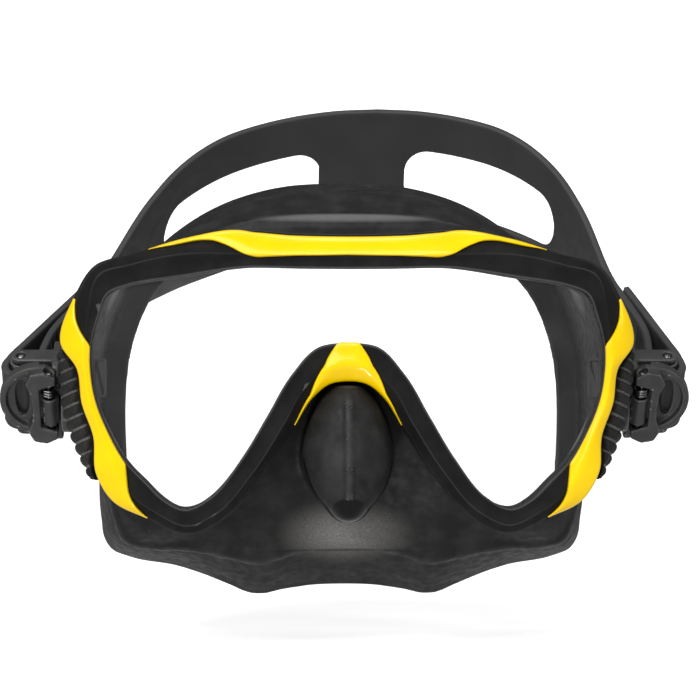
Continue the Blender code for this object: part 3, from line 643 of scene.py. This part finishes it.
def smoothstep(value, low, high):
    t = min(max((value - low) / (high - low), 0.0), 1.0)
    return t * t * (3.0 - 2.0 * t)


def quarter_circle(t):
    """Height of a rounded edge: 0 at its rim, 1 from t = 1 on."""
    return math.sqrt(max(1.0 - (1.0 - min(t, 1.0)) ** 2, 0.0))


# ---- mesh building -------------------------------------------------------------------------------
def make(name, points, faces):
    """A named mesh object from points in millimetres."""
    mesh = bpy.data.meshes.new(name)
    mesh.from_pydata([Vector(p) * MM for p in points], [], faces)
    work = bmesh.new()
    work.from_mesh(mesh)
    bmesh.ops.recalc_face_normals(work, faces=work.faces)
    work.to_mesh(mesh)
    work.free()
    made = bpy.data.objects.new(name, mesh)
    bpy.context.scene.collection.objects.link(made)
    return made


def bridge(rows, across, along, caps):
    """Faces between rows of equal length. across closes each row, along joins the last row to the first."""
    width, count, faces = len(rows[0]), len(rows), []
    for i in range(count if along else count - 1):
        for j in range(width if across else width - 1):
            a, b = i * width, ((i + 1) % count) * width
            k = (j + 1) % width
            faces.append((a + j, a + k, b + k, b + j))
    if caps:
        faces.append(tuple(range(width)))
        faces.append(tuple((count - 1) * width + j for j in range(width)))
    return [p for row in rows for p in row], faces


def loft(name, rows):
    return make(name, *bridge(rows, True, False, True))


def ring(name, loops):
    return make(name, *bridge(loops, True, True, False))


def bake_modifiers(piece):
    """Applies a piece's modifiers."""
    bpy.context.view_layer.update()
    graph = bpy.context.evaluated_depsgraph_get()
    mesh = bpy.data.meshes.new_from_object(piece.evaluated_get(graph))
    piece.modifiers.clear()
    piece.data = mesh


def combine(target, others, operation):
    """Applies Booleans with the other objects, which are then removed."""
    for other in others:
        cut = target.modifiers.new(operation.lower(), "BOOLEAN")
        cut.operation = operation
        cut.solver = "EXACT"
        cut.object = other
    bake_modifiers(target)
    for other in others:
        bpy.data.objects.remove(other)


def moulded(piece, voxel, passes):
    """Remeshes a piece to an even fine grid and relaxes it, which rounds every edge as a mould does."""
    remesh = piece.modifiers.new("remesh", "REMESH")
    remesh.mode = "VOXEL"
    remesh.voxel_size = voxel * MM
    relax = piece.modifiers.new("relax", "SMOOTH")
    relax.factor = 0.5
    relax.iterations = passes
    bake_modifiers(piece)


def dress(piece, node, sharp=40.0):
    """Gives a piece its node's body, slot and material, and lets it stand for the node."""
    piece.data.materials.clear()
    piece.data.materials.append(MATERIALS[SLOT[node]])
    piece.data.shade_smooth()
    if sharp:
        piece.data.set_sharp_from_angle(angle=math.radians(sharp))
    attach(piece, BODY[node])
    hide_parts(node)
    return piece


def level(loop, y):
    return [(x, y, z) for x, z in loop]


# ---- the frame's front surface -------------------------------------------------------------------
FRAME_CURVE = smooth(mirrored(FRAME_STATIONS, (0, 2)), STEPS, True)
OPENING = [(p[0], p[1]) for p in FRAME_CURVE]
PLACES = [i / STEPS for i in range(len(FRAME_CURVE))]
EDGE_SOFT = 0.018       # softness of the front ridge, as a share of the frame's width
DISH = 0.22             # hollow of the band between opening and ridge


def sweep(x):
    return SWEEP_RATE * max(0.0, abs(x) - SWEEP_START) ** 2


def frame_row(place):
    index = place * STEPS
    low = math.floor(index)
    a, b = FRAME_CURVE[low % len(FRAME_CURVE)], FRAME_CURVE[(low + 1) % len(FRAME_CURVE)]
    return [p + (q - p) * (index - low) for p, q in zip(a, b)]


def front_point(place, across):
    """A point on the frame's front at a station place (0 at the top middle, rising clockwise)."""
    xi, zi, xo, zo, ridge, bevel = frame_row(place)
    x, z = xi + (xo - xi) * across, zi + (zo - zi) * across
    past = across - ridge
    back = (past + math.hypot(past, EDGE_SOFT)) / 2.0 / (1.0 - ridge) * bevel
    dish = DISH * math.sin(math.pi * min(max(across / ridge, 0.0), 1.0)) ** 2
    return Vector((x, FRONT + back + dish + sweep(x), z))


def front_loops():
    """Loops over the frame's front from its lip to its outer edge, close together at the ridge."""
    inner = (0.03, 0.08, 0.16, 0.3, 0.45, 0.6, 0.75, 0.86, 0.93, 0.97, 1.0)
    outer = (0.02, 0.05, 0.1, 0.2, 0.35, 0.5, 0.65, 0.8, 0.9, 0.96, 1.0)
    loops = []
    for share in inner:
        loops.append([front_point(u, frame_row(u)[4] * share) for u in PLACES])
    for share in outer:
        loop = []
        for u in PLACES:
            ridge = frame_row(u)[4]
            point = front_point(u, ridge + (1.0 - ridge) * share)
            loop.append(point + Vector((0.0, 0.5 * smoothstep(share, 0.85, 1.0), 0.0)))
        loops.append(loop)
    return loops


def front_frame():
    wall = offset(OPENING, LENS_OVERLAP + WALL_GAP)
    front = front_loops()
    outer = front[-1]

    def beside(y_shift):
        return [(p.x, p.y + y_shift, p.z) for p in outer]

    def behind(y_shift):
        return [(p.x, FRAME_BACK + sweep(p.x) + y_shift, p.z) for p in outer]

    loops = [
        level(OPENING, FRONT + LIP),
        level(OPENING, FRONT + 0.55),
        level(offset(OPENING, 0.06), FRONT + 0.3),
        *front,
        beside(0.5),
        beside(1.2),
        behind(-0.2),
        behind(0.0),
        level(offset(wall, 0.3), FRAME_BACK),
        level(wall, FRAME_BACK - 0.3),
        level(wall, FRONT + LIP),
    ]
    dress(ring("front_frame_shell", loops), "front_frame")


# ---- trims ---------------------------------------------------------------------------------------
def trim(node, rows, peak, taper):
    """A raised, crowned patch over the frame's front with rounded edges, highest at the peak place."""
    count = round((rows[-1][0] - rows[0][0]) * STEPS * 1.5)
    across = [(1.0 - math.cos(math.pi * k / 18)) / 2.0 for k in range(19)]
    sections = []
    for i in range(count + 1):
        place = rows[0][0] + (rows[-1][0] - rows[0][0]) * i / count
        near, far = eased(rows, place, 0.08)
        width = (front_point(place, far) - front_point(place, near)).length
        end = min(i, count - i) / count * (rows[-1][0] - rows[0][0])
        lift = TRIM_HEIGHT * math.sqrt(min(end / taper + 0.04, 1.0))
        face, back = [], []
        for c in across:
            base = front_point(place, near + (far - near) * c)
            edge = quarter_circle(min(c, 1.0 - c) * width / TRIM_ROUND)
            crown = 1.0 - 0.40 * (abs(c - peak) / max(peak, 1.0 - peak)) ** 1.6
            face.append(base + Vector((0.0, -lift * edge * crown, 0.0)))
            back.append(base + Vector((0.0, TRIM_SUNK, 0.0)))
        sections.append(face + back[::-1])
    dress(loft(node + "_moulding", sections), node)


def mirror_rows(rows, last):
    """Rows of a trim's table reflected to the other half of the closed outline."""
    return [(last - r[0], *r[1:]) for r in reversed(rows)]


def trims():
    stations = 2.0 * (len(FRAME_STATIONS) - 1)
    left_top = [(-r[0], *r[1:]) for r in reversed(TOP_TRIM[1:])]
    trim("top_trim", left_top + TOP_TRIM, 0.6, 1.2)
    trim("right_side_trim", SIDE_TRIM, 0.38, 0.5)
    trim("left_side_trim", mirror_rows(SIDE_TRIM, stations), 0.38, 0.5)
    trim("nose_trim", NOSE_TRIM + mirror_rows(NOSE_TRIM[:-1], stations), 0.5, 0.8)


# ---- lens and retainer ---------------------------------------------------------------------------
def lens():
    rows = []
    for inset, y in ((0.4, 0.0), (0.1, 0.12), (0.0, 0.4)):
        rows.append(level(offset(OPENING, LENS_OVERLAP - inset), LENS_FRONT + y))
    for inset, y in ((0.0, 0.4), (0.1, 0.12), (0.4, 0.0)):
        rows.append(level(offset(OPENING, LENS_OVERLAP - inset), LENS_BACK - y))
    dress(loft("lens_glass", rows), "lens", 20.0)


def retainer():
    inner, outer = offset(OPENING, RETAINER_IN), offset(OPENING, LENS_OVERLAP)
    soft_inner, soft_outer = offset(OPENING, RETAINER_IN + 0.2), offset(OPENING, LENS_OVERLAP - 0.2)
    loops = [
        level(inner, RETAINER_FRONT + 0.2),
        level(soft_inner, RETAINER_FRONT),
        level(soft_outer, RETAINER_FRONT),
        level(outer, RETAINER_FRONT + 0.2),
        level(outer, RETAINER_BACK - 0.2),
        level(soft_outer, RETAINER_BACK),
        level(soft_inner, RETAINER_BACK),
        level(inner, RETAINER_BACK - 0.2),
    ]
    dress(ring("retainer_ring", loops), "retainer")


def clip_windows():
    """The moulded window of the lens clip on each side, a bevelled rim round a recess behind the lens."""
    low, high, inner, outer = WINDOW
    for side, sign in (("right", 1.0), ("left", -1.0)):
        loops = []
        for inset, y in ((0.0, 1.2), (0.0, 0.15), (0.15, 0.0), (0.55, 0.0), (0.7, 0.15), (0.7, 0.9)):
            corners = rounded_box(inner + inset, outer - inset, low + inset, high - inset, 0.9 - inset)
            loops.append([(sign * x, WINDOW_FRONT + y, z) for x, z in corners])
        dress(loft(f"{side}_clip_window", loops), "retainer", 30.0)


# ---- skirt ---------------------------------------------------------------------------------------
def seal_y(x):
    return -FACE_CURVE * max(0.0, 1.0 - (x / FACE_HALF) ** 2)


def bead_height(half_way, spread):
    """Height of the bead at a share of the way round one half and a place between neck and seal."""
    middle, half, height = eased(BEAD, half_way, 0.04)
    t = (spread - middle) / half
    return height * math.sqrt(1.0 - t * t) if abs(t) < 1.0 else 0.0


def skirt_solid(name, neck, inset, lip, outside):
    """A closed solid filling the skirt, drawn in by the inset, and by the lip at the face seal."""
    neck_loop, seal = offset(OPENING, neck), smooth(mirrored(SEAL_STATIONS, (0,)), 6, True)
    neck_places = evenly(neck_loop + neck_loop[:1], SKIRT_SEGMENTS)[:-1]
    rear = evenly(seal + seal[:1], SKIRT_SEGMENTS)[:-1]
    loops = (neck_places, offset(rear, -inset), offset(rear, -lip))
    neck_places, wall, rim = (smooth(loop, SKIRT_FINER, True) for loop in loops)
    count = len(wall)
    start = FRAME_BACK + 0.6
    foremost = (FLANGE_FRONT + FLANGE_BACK) / 2 if outside else FLANGE_FRONT - 2.0
    rows = [level(neck_places, foremost), level(neck_places, start - 1.5)]
    for spread, depth in smooth(SKIRT_FLARE, 8, False):
        row = []
        for i, ((xn, zn), (xr, zr)) in enumerate(zip(neck_places, wall)):
            y = start + (seal_y(xr) - start) * depth
            y += 0.0 if outside else SKIRT_STEP * (1.0 - spread)
            x, z = xn + (xr - xn) * spread, zn + (zr - zn) * spread
            if outside:
                away = Vector((xr - xn, 0.0, zr - zn)).normalized() * 0.64 + Vector((0.0, -0.77, 0.0))
                away *= bead_height(min(i, count - i) / (count / 2), spread)
                x, y, z = x + away.x, y + away.y, z + away.z
            row.append((x, y, z))
        rows.append(row)
    rows.append([(x, seal_y(x) - LIP_THICK, z) for x, z in wall])
    if lip > inset:
        rows.append([(x, seal_y(x) - LIP_THICK + 0.1, z) for x, z in rim])
    rows.append(level(rim, 8.0 + inset))
    return loft(name, rows)


def nose_pocket(name, inset):
    """The nose pocket as a stack of rounded sections, drawn in by the inset."""
    segments, sections = 40, smooth(NOSE_SECTIONS, 6, False)
    rows = []
    for index, (z, half, front) in enumerate(sections):
        shift = -inset * (1.0 - 2.0 * index / (len(sections) - 1))
        section = []
        for k in range(segments + 1):
            angle = math.pi * k / segments
            x = (half - inset) * math.cos(angle)
            y = (front + inset + NOSE_ROUND) - NOSE_ROUND * math.sin(angle) ** 0.8
            section.append((x, y, z + shift))
        for x in (inset - half, half - inset):
            section.append((x, NOSE_BACK + inset, z + shift))
        rows.append(section)
    return loft(name, rows)


def behind_face():
    """Everything behind the face seal's curved surface, to trim the skirt's rear edge."""
    rows, steps, far = [], 64, FACE_HALF + 15.0
    for i in range(steps + 1):
        x = far * (2.0 * i / steps - 1.0)
        corners = ((seal_y(x), -far), (seal_y(x), far), (20.0, far), (20.0, -far))
        rows.append([(x, y, z) for y, z in corners])
    return loft("behind_face", rows)


def nose_rib(piece):
    """Raises the middle rib of the nose pocket."""
    for vertex in piece.data.vertices:
        x, y, z = vertex.co / MM
        if y > -58.0 or abs(x) > NOSE_RIB_HALF + 0.5:
            continue
        beside = 1.0 - smoothstep(abs(x), NOSE_RIB_HALF - 0.35, NOSE_RIB_HALF + 0.35)
        along = smoothstep(z, -34.0, -30.0) * (1.0 - smoothstep(z, -4.0, 0.0))
        vertex.co.y -= NOSE_RIB_HEIGHT * beside * along * MM


def skirt():
    outer = skirt_solid("skirt_moulding", NECK_OUT, 0.0, 0.0, True)
    flange = offset(OPENING, LENS_OVERLAP)
    flange_plate = loft("flange", [level(flange, FLANGE_FRONT), level(flange, FLANGE_BACK)])
    combine(outer, [flange_plate, nose_pocket("outer_nose", 0.0)], "UNION")
    inner = skirt_solid("inner", NECK_IN, SKIRT_WALL, LIP_WIDTH, False)
    combine(outer, [inner, nose_pocket("inner_nose", SKIRT_WALL), behind_face()], "DIFFERENCE")
    moulded(outer, SKIRT_VOXEL, 4)
    nose_rib(outer)
    dress(outer, "skirt", None)


# ---- side grips ----------------------------------------------------------------------------------
def side_grip(side, sign):
    """A soft block of stacked rolls beside the frame."""
    outline = [(-z, x) for z, x in GRIP_OUTLINE]
    steps = GRIP_RIBS * 14
    low, high = GRIP_OUTLINE[-1][0], GRIP_OUTLINE[0][0]
    beside = [(x, z) for _, _, x, z, _, _ in FRAME_CURVE if x > 66.0 and low - 4.0 < z < high + 8.0]
    frame_edge = sorted((-z, x) for x, z in beside)
    rows = []
    for i in range(steps + 1):
        z = high + (low - high) * i / steps
        root = eased(outline, -z, 3.0)[0]
        inner = table(frame_edge, -z)[0] + 0.4
        closing = 1.0 - 0.9 * smoothstep(abs(2.0 * i / steps - 1.0), 0.93, 1.0)
        section = [
            (inner, GRIP_FRONT + 0.9),
            (inner + (root - inner) * 0.45, GRIP_FRONT + 0.1),
            (root - 1.6, GRIP_FRONT + 1.3),
            (root - 0.1, GRIP_FRONT + 4.4),
            (root - 0.6, GRIP_BACK - 0.4),
            (root - 2.0, GRIP_BACK),
            (max(inner, root - 4.6), GRIP_BACK),
            (inner, GRIP_BACK - 6.0),
        ]
        curve = smooth(section, 5, True)
        row = []
        for k, (x, y) in enumerate(curve):
            before, after = curve[k - 1], curve[(k + 1) % len(curve)]
            tx, ty = after[0] - before[0], after[1] - before[1]
            size = max(math.hypot(tx, ty), 1e-6)
            phase = GRIP_RIBS * (high - z + 0.45 * (root - x)) / (high - low)
            roll = abs(math.sin(math.pi * phase)) ** 0.55
            outside = smoothstep(x, inner + 0.2, inner + 2.0)
            weight = outside * (1.0 - smoothstep(y, GRIP_BACK - 3.0, GRIP_BACK))
            lift = RIB_HEIGHT * (roll - 0.35) * weight * closing
            row.append((sign * (x + ty / size * lift), y - tx / size * lift, z))
        rows.append(row)
    dress(loft(f"{side}_grip_rolls", rows), f"{side}_grip", 60.0)


# ---- buckles -------------------------------------------------------------------------------------
def in_buckle(sign):
    """A function that turns buckle coordinates (outwards, back along the strap, across it) into a point."""
    return lambda x, d, w: SWIVEL + Vector((sign * x, 0.0, 0.0)) + BACK * d + UP * w


def cad_copy(node, name):
    """A new piece with a copy of a CAD node's mesh, its corners joined up."""
    piece = bpy.data.objects.new(name, frame["nodes"][node].data.copy())
    bpy.context.scene.collection.objects.link(piece)
    work = bmesh.new()
    work.from_mesh(piece.data)
    bmesh.ops.remove_doubles(work, verts=work.verts, dist=0.002 * MM)
    work.to_mesh(piece.data)
    work.free()
    return piece


def turned(name, start, axis, profile, segments=40):
    """A turned pin about an axis from rows of (distance along, radius)."""
    across = axis.orthogonal().normalized()
    up = axis.cross(across)
    rows = []
    for along, radius in profile:
        row = []
        for k in range(segments):
            angle = math.tau * k / segments
            row.append(start + axis * along + (across * math.cos(angle) + up * math.sin(angle)) * radius)
        rows.append(row)
    return loft(name, rows)


def pins(side, sign, at):
    """The lever's pin and the roller's pin, each with chamfered ends."""
    chamfer = [(0.0, PIN_RADIUS - 0.4), (0.1, PIN_RADIUS - 0.2), (0.3, PIN_RADIUS)]
    for label, x, d, middle, half in (
        ("lever_pin", LEVER_X, LEVER_D, LEVER_W, LEVER_PIN_HALF),
        ("roller_pin", ROLLER_X, ROLLER_D, 0.0, ROLLER_PIN_HALF),
    ):
        profile = chamfer + [(2 * half - along, radius) for along, radius in reversed(chamfer)]
        pin = turned(f"{side}_{label}_turned", at(x, d, middle - half), UP, profile)
        dress(pin, f"{side}_{label}")


def swivel_pin(side, sign):
    """The swivel's rivet with a domed head and a dimple in it."""
    node = f"{side}_swivel_pin"
    low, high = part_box(node)
    inner, outer = sorted((abs(low.x) / MM, abs(high.x) / MM))
    shank = outer - RIVET_HEAD_HEIGHT - inner
    shape = [(0.0, RIVET_RADIUS - 0.3), (0.3, RIVET_RADIUS), (shank, RIVET_RADIUS)]
    shape += [(shank + along, radius) for along, radius in RIVET_HEAD]
    start = SWIVEL + Vector((sign * inner, 0.0, 0.0))
    dress(turned(f"{side}_swivel_rivet", start, Vector((sign, 0.0, 0.0)), shape), node)


def lever_spring(side, at):
    """A torsion coil round the lever's pin."""
    per_turn, around = 36, 12
    steps = SPRING_TURNS * per_turn
    rows = []
    for i in range(steps + 1):
        angle = math.tau * i / per_turn
        middle = SPRING_FROM + (SPRING_TO - SPRING_FROM) * i / steps
        row = []
        for k in range(around):
            turn = math.tau * k / around
            r = SPRING_RADIUS + SPRING_WIRE * math.cos(turn)
            x, d = LEVER_X + r * math.cos(angle), LEVER_D + r * math.sin(angle)
            row.append(at(x, d, middle + SPRING_WIRE * math.sin(turn)))
        rows.append(row)
    dress(loft(f"{side}_spring_wire", rows), f"{side}_lever_spring")


def buckle(side, sign):
    at = in_buckle(sign)
    for node, voxel, passes in BUCKLE_PIECES:
        piece = cad_copy(f"{side}_{node}", f"{side}_{node}_moulding")
        moulded(piece, voxel, passes)
        dress(piece, f"{side}_{node}", None)
    pins(side, sign, at)
    swivel_pin(side, sign)
    lever_spring(side, at)


# ---- strap ---------------------------------------------------------------------------------------
def strap_path():
    """Points (x, s) of the strap's middle line from the pad's middle to the end of the right-hand tail."""
    arc = [LEG_ANGLE * k / 6 for k in range(7)]
    points = [(PAD_RADIUS * math.sin(a), PAD_CENTRE + PAD_RADIUS * math.cos(a)) for a in arc]
    points += [(80.6, 42.0), (85.4, 30.0), (90.0, 16.0), (91.0, 4.0)]
    wrap = ROLLER_R + 0.4 + STRAP_THICK / 2
    for degrees in (190, 225, 270, 315, 350):
        a = math.radians(degrees)
        points.append((ROLLER_X + wrap * math.cos(a), ROLLER_D + wrap * math.sin(a)))
    points += [(99.6, 3.0), (96.8, 10.0), (93.9, 17.0), (88.5, 30.0), (84.3, 40.0)]
    return smooth(points, 16, False)


def hole_distance(along, w, scale):
    """Distance from a pad hole's rim, below 0 inside the hole. along runs from the pad's middle."""
    middle, half = (BRIDGE_HALF + HOLE_END) / 2, (HOLE_END - BRIDGE_HALF) / 2
    qa = abs(along - middle) - half + HOLE_ROUND
    qw = abs(w) - PAD_HOLE_HALF * scale + HOLE_ROUND
    return math.hypot(max(qa, 0.0), max(qw, 0.0)) + min(max(qa, qw), 0.0) - HOLE_ROUND


def strap():
    """The strap as one sheet of even thickness with rounded edges, two pad holes and toothed legs."""
    right = strap_path()
    half_length = with_lengths(right)[-1][0]
    whole = [(-x, s) for x, s in reversed(right[1:])] + right
    count = round(2.0 * half_length / STRAP_SPACING)
    path = evenly(whole, count)
    borders = (0.0, 0.12, 0.35, 0.8, 2.0)
    grid, open_rows = [], []
    for i, (x, s) in enumerate(path):
        travelled = 2.0 * half_length * i / count - half_length
        along = abs(travelled - PAD_SHIFT)
        half = STRAP_HALF + (PAD_HALF - STRAP_HALF) * smoothstep(TAPER_END - along, 0.0, TAPER_LENGTH)
        scale = half / PAD_HALF
        end = min(along - BRIDGE_HALF, HOLE_END - along)
        reach = min(max(end, 0.0), HOLE_ROUND)
        hole = PAD_HOLE_HALF * scale - HOLE_ROUND + math.sqrt(HOLE_ROUND**2 - (HOLE_ROUND - reach) ** 2)
        hole = max(hole, 1.5)
        open_rows.append(end >= 0.0)
        outer_side = [half - b for b in borders]
        inner_side = [hole + b for b in reversed(borders)]
        places = outer_side + [(outer_side[-1] + inner_side[0]) / 2] + inner_side
        places += [-w for w in reversed(places)]
        a, b = path[max(i - 1, 0)], path[min(i + 1, count)]
        size = math.hypot(b[0] - a[0], b[1] - a[1])
        nx, ns = (b[1] - a[1]) / size, -(b[0] - a[0]) / size
        tail = half_length - abs(travelled)
        row = []
        for side in (1.0, -1.0):
            for w in places:
                edge = min(half - abs(w), abs(hole_distance(along, w, scale)), tail + 0.1)
                thick = STRAP_THICK / 2 - STRAP_ROUND * (1.0 - quarter_circle(edge / STRAP_ROUND))
                if side > 0.0:
                    teeth = smoothstep(half - abs(w), 1.4, 2.0)
                    teeth *= smoothstep(abs(travelled), TEETH_FROM, TEETH_FROM + 1.0)
                    wave = 0.5 - 0.5 * math.cos(math.tau * abs(travelled) / TOOTH_PITCH)
                    thick -= TOOTH_HEIGHT * (1.0 - wave) ** 2 * teeth
                px, ps = x + nx * thick * side, s + ns * thick * side
                row.append(SWIVEL + Vector((px + STRAP_LEAN * max(ps, 0.0), 0.0, 0.0)) + BACK * ps + UP * w)
        grid.append(row)
    width = len(grid[0]) // 2
    middle = width // 2 - 1
    points, faces = [p for row in grid for p in row], []
    for i in range(count):
        a, b = 2 * width * i, 2 * width * (i + 1)
        is_open = open_rows[i] and open_rows[i + 1]
        for k in range(width - 1):
            if is_open and k == middle:
                continue
            faces.append((a + k, a + k + 1, b + k + 1, b + k))
            faces.append((a + width + k, b + width + k, b + width + k + 1, a + width + k + 1))
        walls = [0, width - 1] + ([middle, middle + 1] if is_open else [])
        for k in walls:
            faces.append((a + k, b + k, b + width + k, a + width + k))
        was_open = i > 0 and open_rows[i - 1] and open_rows[i]
        if is_open != was_open:
            faces.append((a + middle, a + middle + 1, a + width + middle + 1, a + width + middle))
    last = 2 * width * count
    for k in range(width - 1):
        faces.append((k, k + 1, width + k + 1, width + k))
        faces.append((last + k, last + k + 1, last + width + k + 1, last + width + k))
    dress(make("strap_band", points, faces), "strap", 50.0)


# ---- floor, lights and camera --------------------------------------------------------------------
def floor():
    """A white sweep: a floor under the mask that curves up far behind it."""
    ground = CAD_BOX[0].z / MM - FLOOR_DROP
    profile = [(-SWEEP_DEPTH, ground), (SWEEP_DEPTH - SWEEP_BEND, ground)]
    for k in range(1, 25):
        angle = math.pi / 2 * k / 24
        across, rise = SWEEP_BEND * math.sin(angle), SWEEP_BEND * (1.0 - math.cos(angle))
        profile.append((SWEEP_DEPTH - SWEEP_BEND + across, ground + rise))
    profile.append((SWEEP_DEPTH, ground + SWEEP_TOP))
    rows = [[(x, y, z) for y, z in profile] for x in (-SWEEP_HALF, SWEEP_HALF)]
    paper = make("white_sweep", *bridge(rows, False, False, False))
    paper.data.materials.append(white_paper())
    paper.data.shade_smooth()
    paper.visible_diffuse = paper.visible_glossy = paper.visible_shadow = False


def aim_at(thing, target):
    thing.rotation_euler = (Vector(target) - thing.location).to_track_quat("-Z", "Y").to_euler()


def area_light(name, place, target, width, height, power):
    light = bpy.data.lights.new(name, "AREA")
    light.shape = "RECTANGLE"
    light.size, light.size_y = width, height
    light.energy = power
    holder = bpy.data.objects.new(name, light)
    holder.location = place
    bpy.context.scene.collection.objects.link(holder)
    aim_at(holder, target)


def lights():
    sun = bpy.data.lights.new("soft_sun", "SUN")
    sun.energy, sun.angle = SUN_STRENGTH, SUN_ANGLE
    holder = bpy.data.objects.new("soft_sun", sun)
    holder.location = SUN_PLACE
    bpy.context.scene.collection.objects.link(holder)
    aim_at(holder, (0.0, 0.0, 0.0))
    for row in AREA_LIGHTS:
        area_light(*row)
    studio_fill()


def studio_fill():
    """The world: white to the camera, and a fill that is brighter from below than from above."""
    world = bpy.data.worlds.new("studio")
    world.use_nodes = True
    tree = world.node_tree
    background = tree.nodes["Background"]
    background.inputs["Color"].default_value = (1.0, 1.0, 1.0, 1.0)
    height = tree.nodes.new("ShaderNodeSeparateXYZ")
    tree.links.new(tree.nodes.new("ShaderNodeTexCoord").outputs["Generated"], height.inputs["Vector"])
    fill = tree.nodes.new("ShaderNodeMapRange")
    strength = tree.nodes.new("ShaderNodeMapRange")
    for socket, value in zip(list(fill.inputs)[1:5], (-0.5, 0.3, FILL_BELOW, FILL_ABOVE)):
        socket.default_value = value
    tree.links.new(height.outputs["Z"], fill.inputs["Value"])
    tree.links.new(tree.nodes.new("ShaderNodeLightPath").outputs["Is Camera Ray"], strength.inputs["Value"])
    tree.links.new(fill.outputs["Result"], strength.inputs["To Min"])
    strength.inputs["To Max"].default_value = 1.0
    tree.links.new(strength.outputs["Result"], background.inputs["Strength"])
    bpy.context.scene.world = world


def camera():
    data = bpy.data.cameras.new("photo_camera")
    data.lens, data.sensor_width = CAMERA_LENS, CAMERA_SENSOR
    holder = bpy.data.objects.new("photo_camera", data)
    bpy.context.scene.collection.objects.link(holder)
    away = Vector((math.sin(CAMERA_YAW), -math.cos(CAMERA_YAW), 0.0))
    holder.location = CAMERA_AIM + away * CAMERA_DISTANCE
    aim_at(holder, CAMERA_AIM)
    bpy.context.scene.camera = holder


# ---- the whole scene -----------------------------------------------------------------------------
def main():
    front_frame()
    trims()
    lens()
    retainer()
    clip_windows()
    skirt()
    for side, sign in (("right", 1.0), ("left", -1.0)):
        side_grip(side, sign)
        buckle(side, sign)
    strap()
    floor()
    lights()
    camera()
    bpy.context.scene.view_settings.view_transform = "Standard"


main()
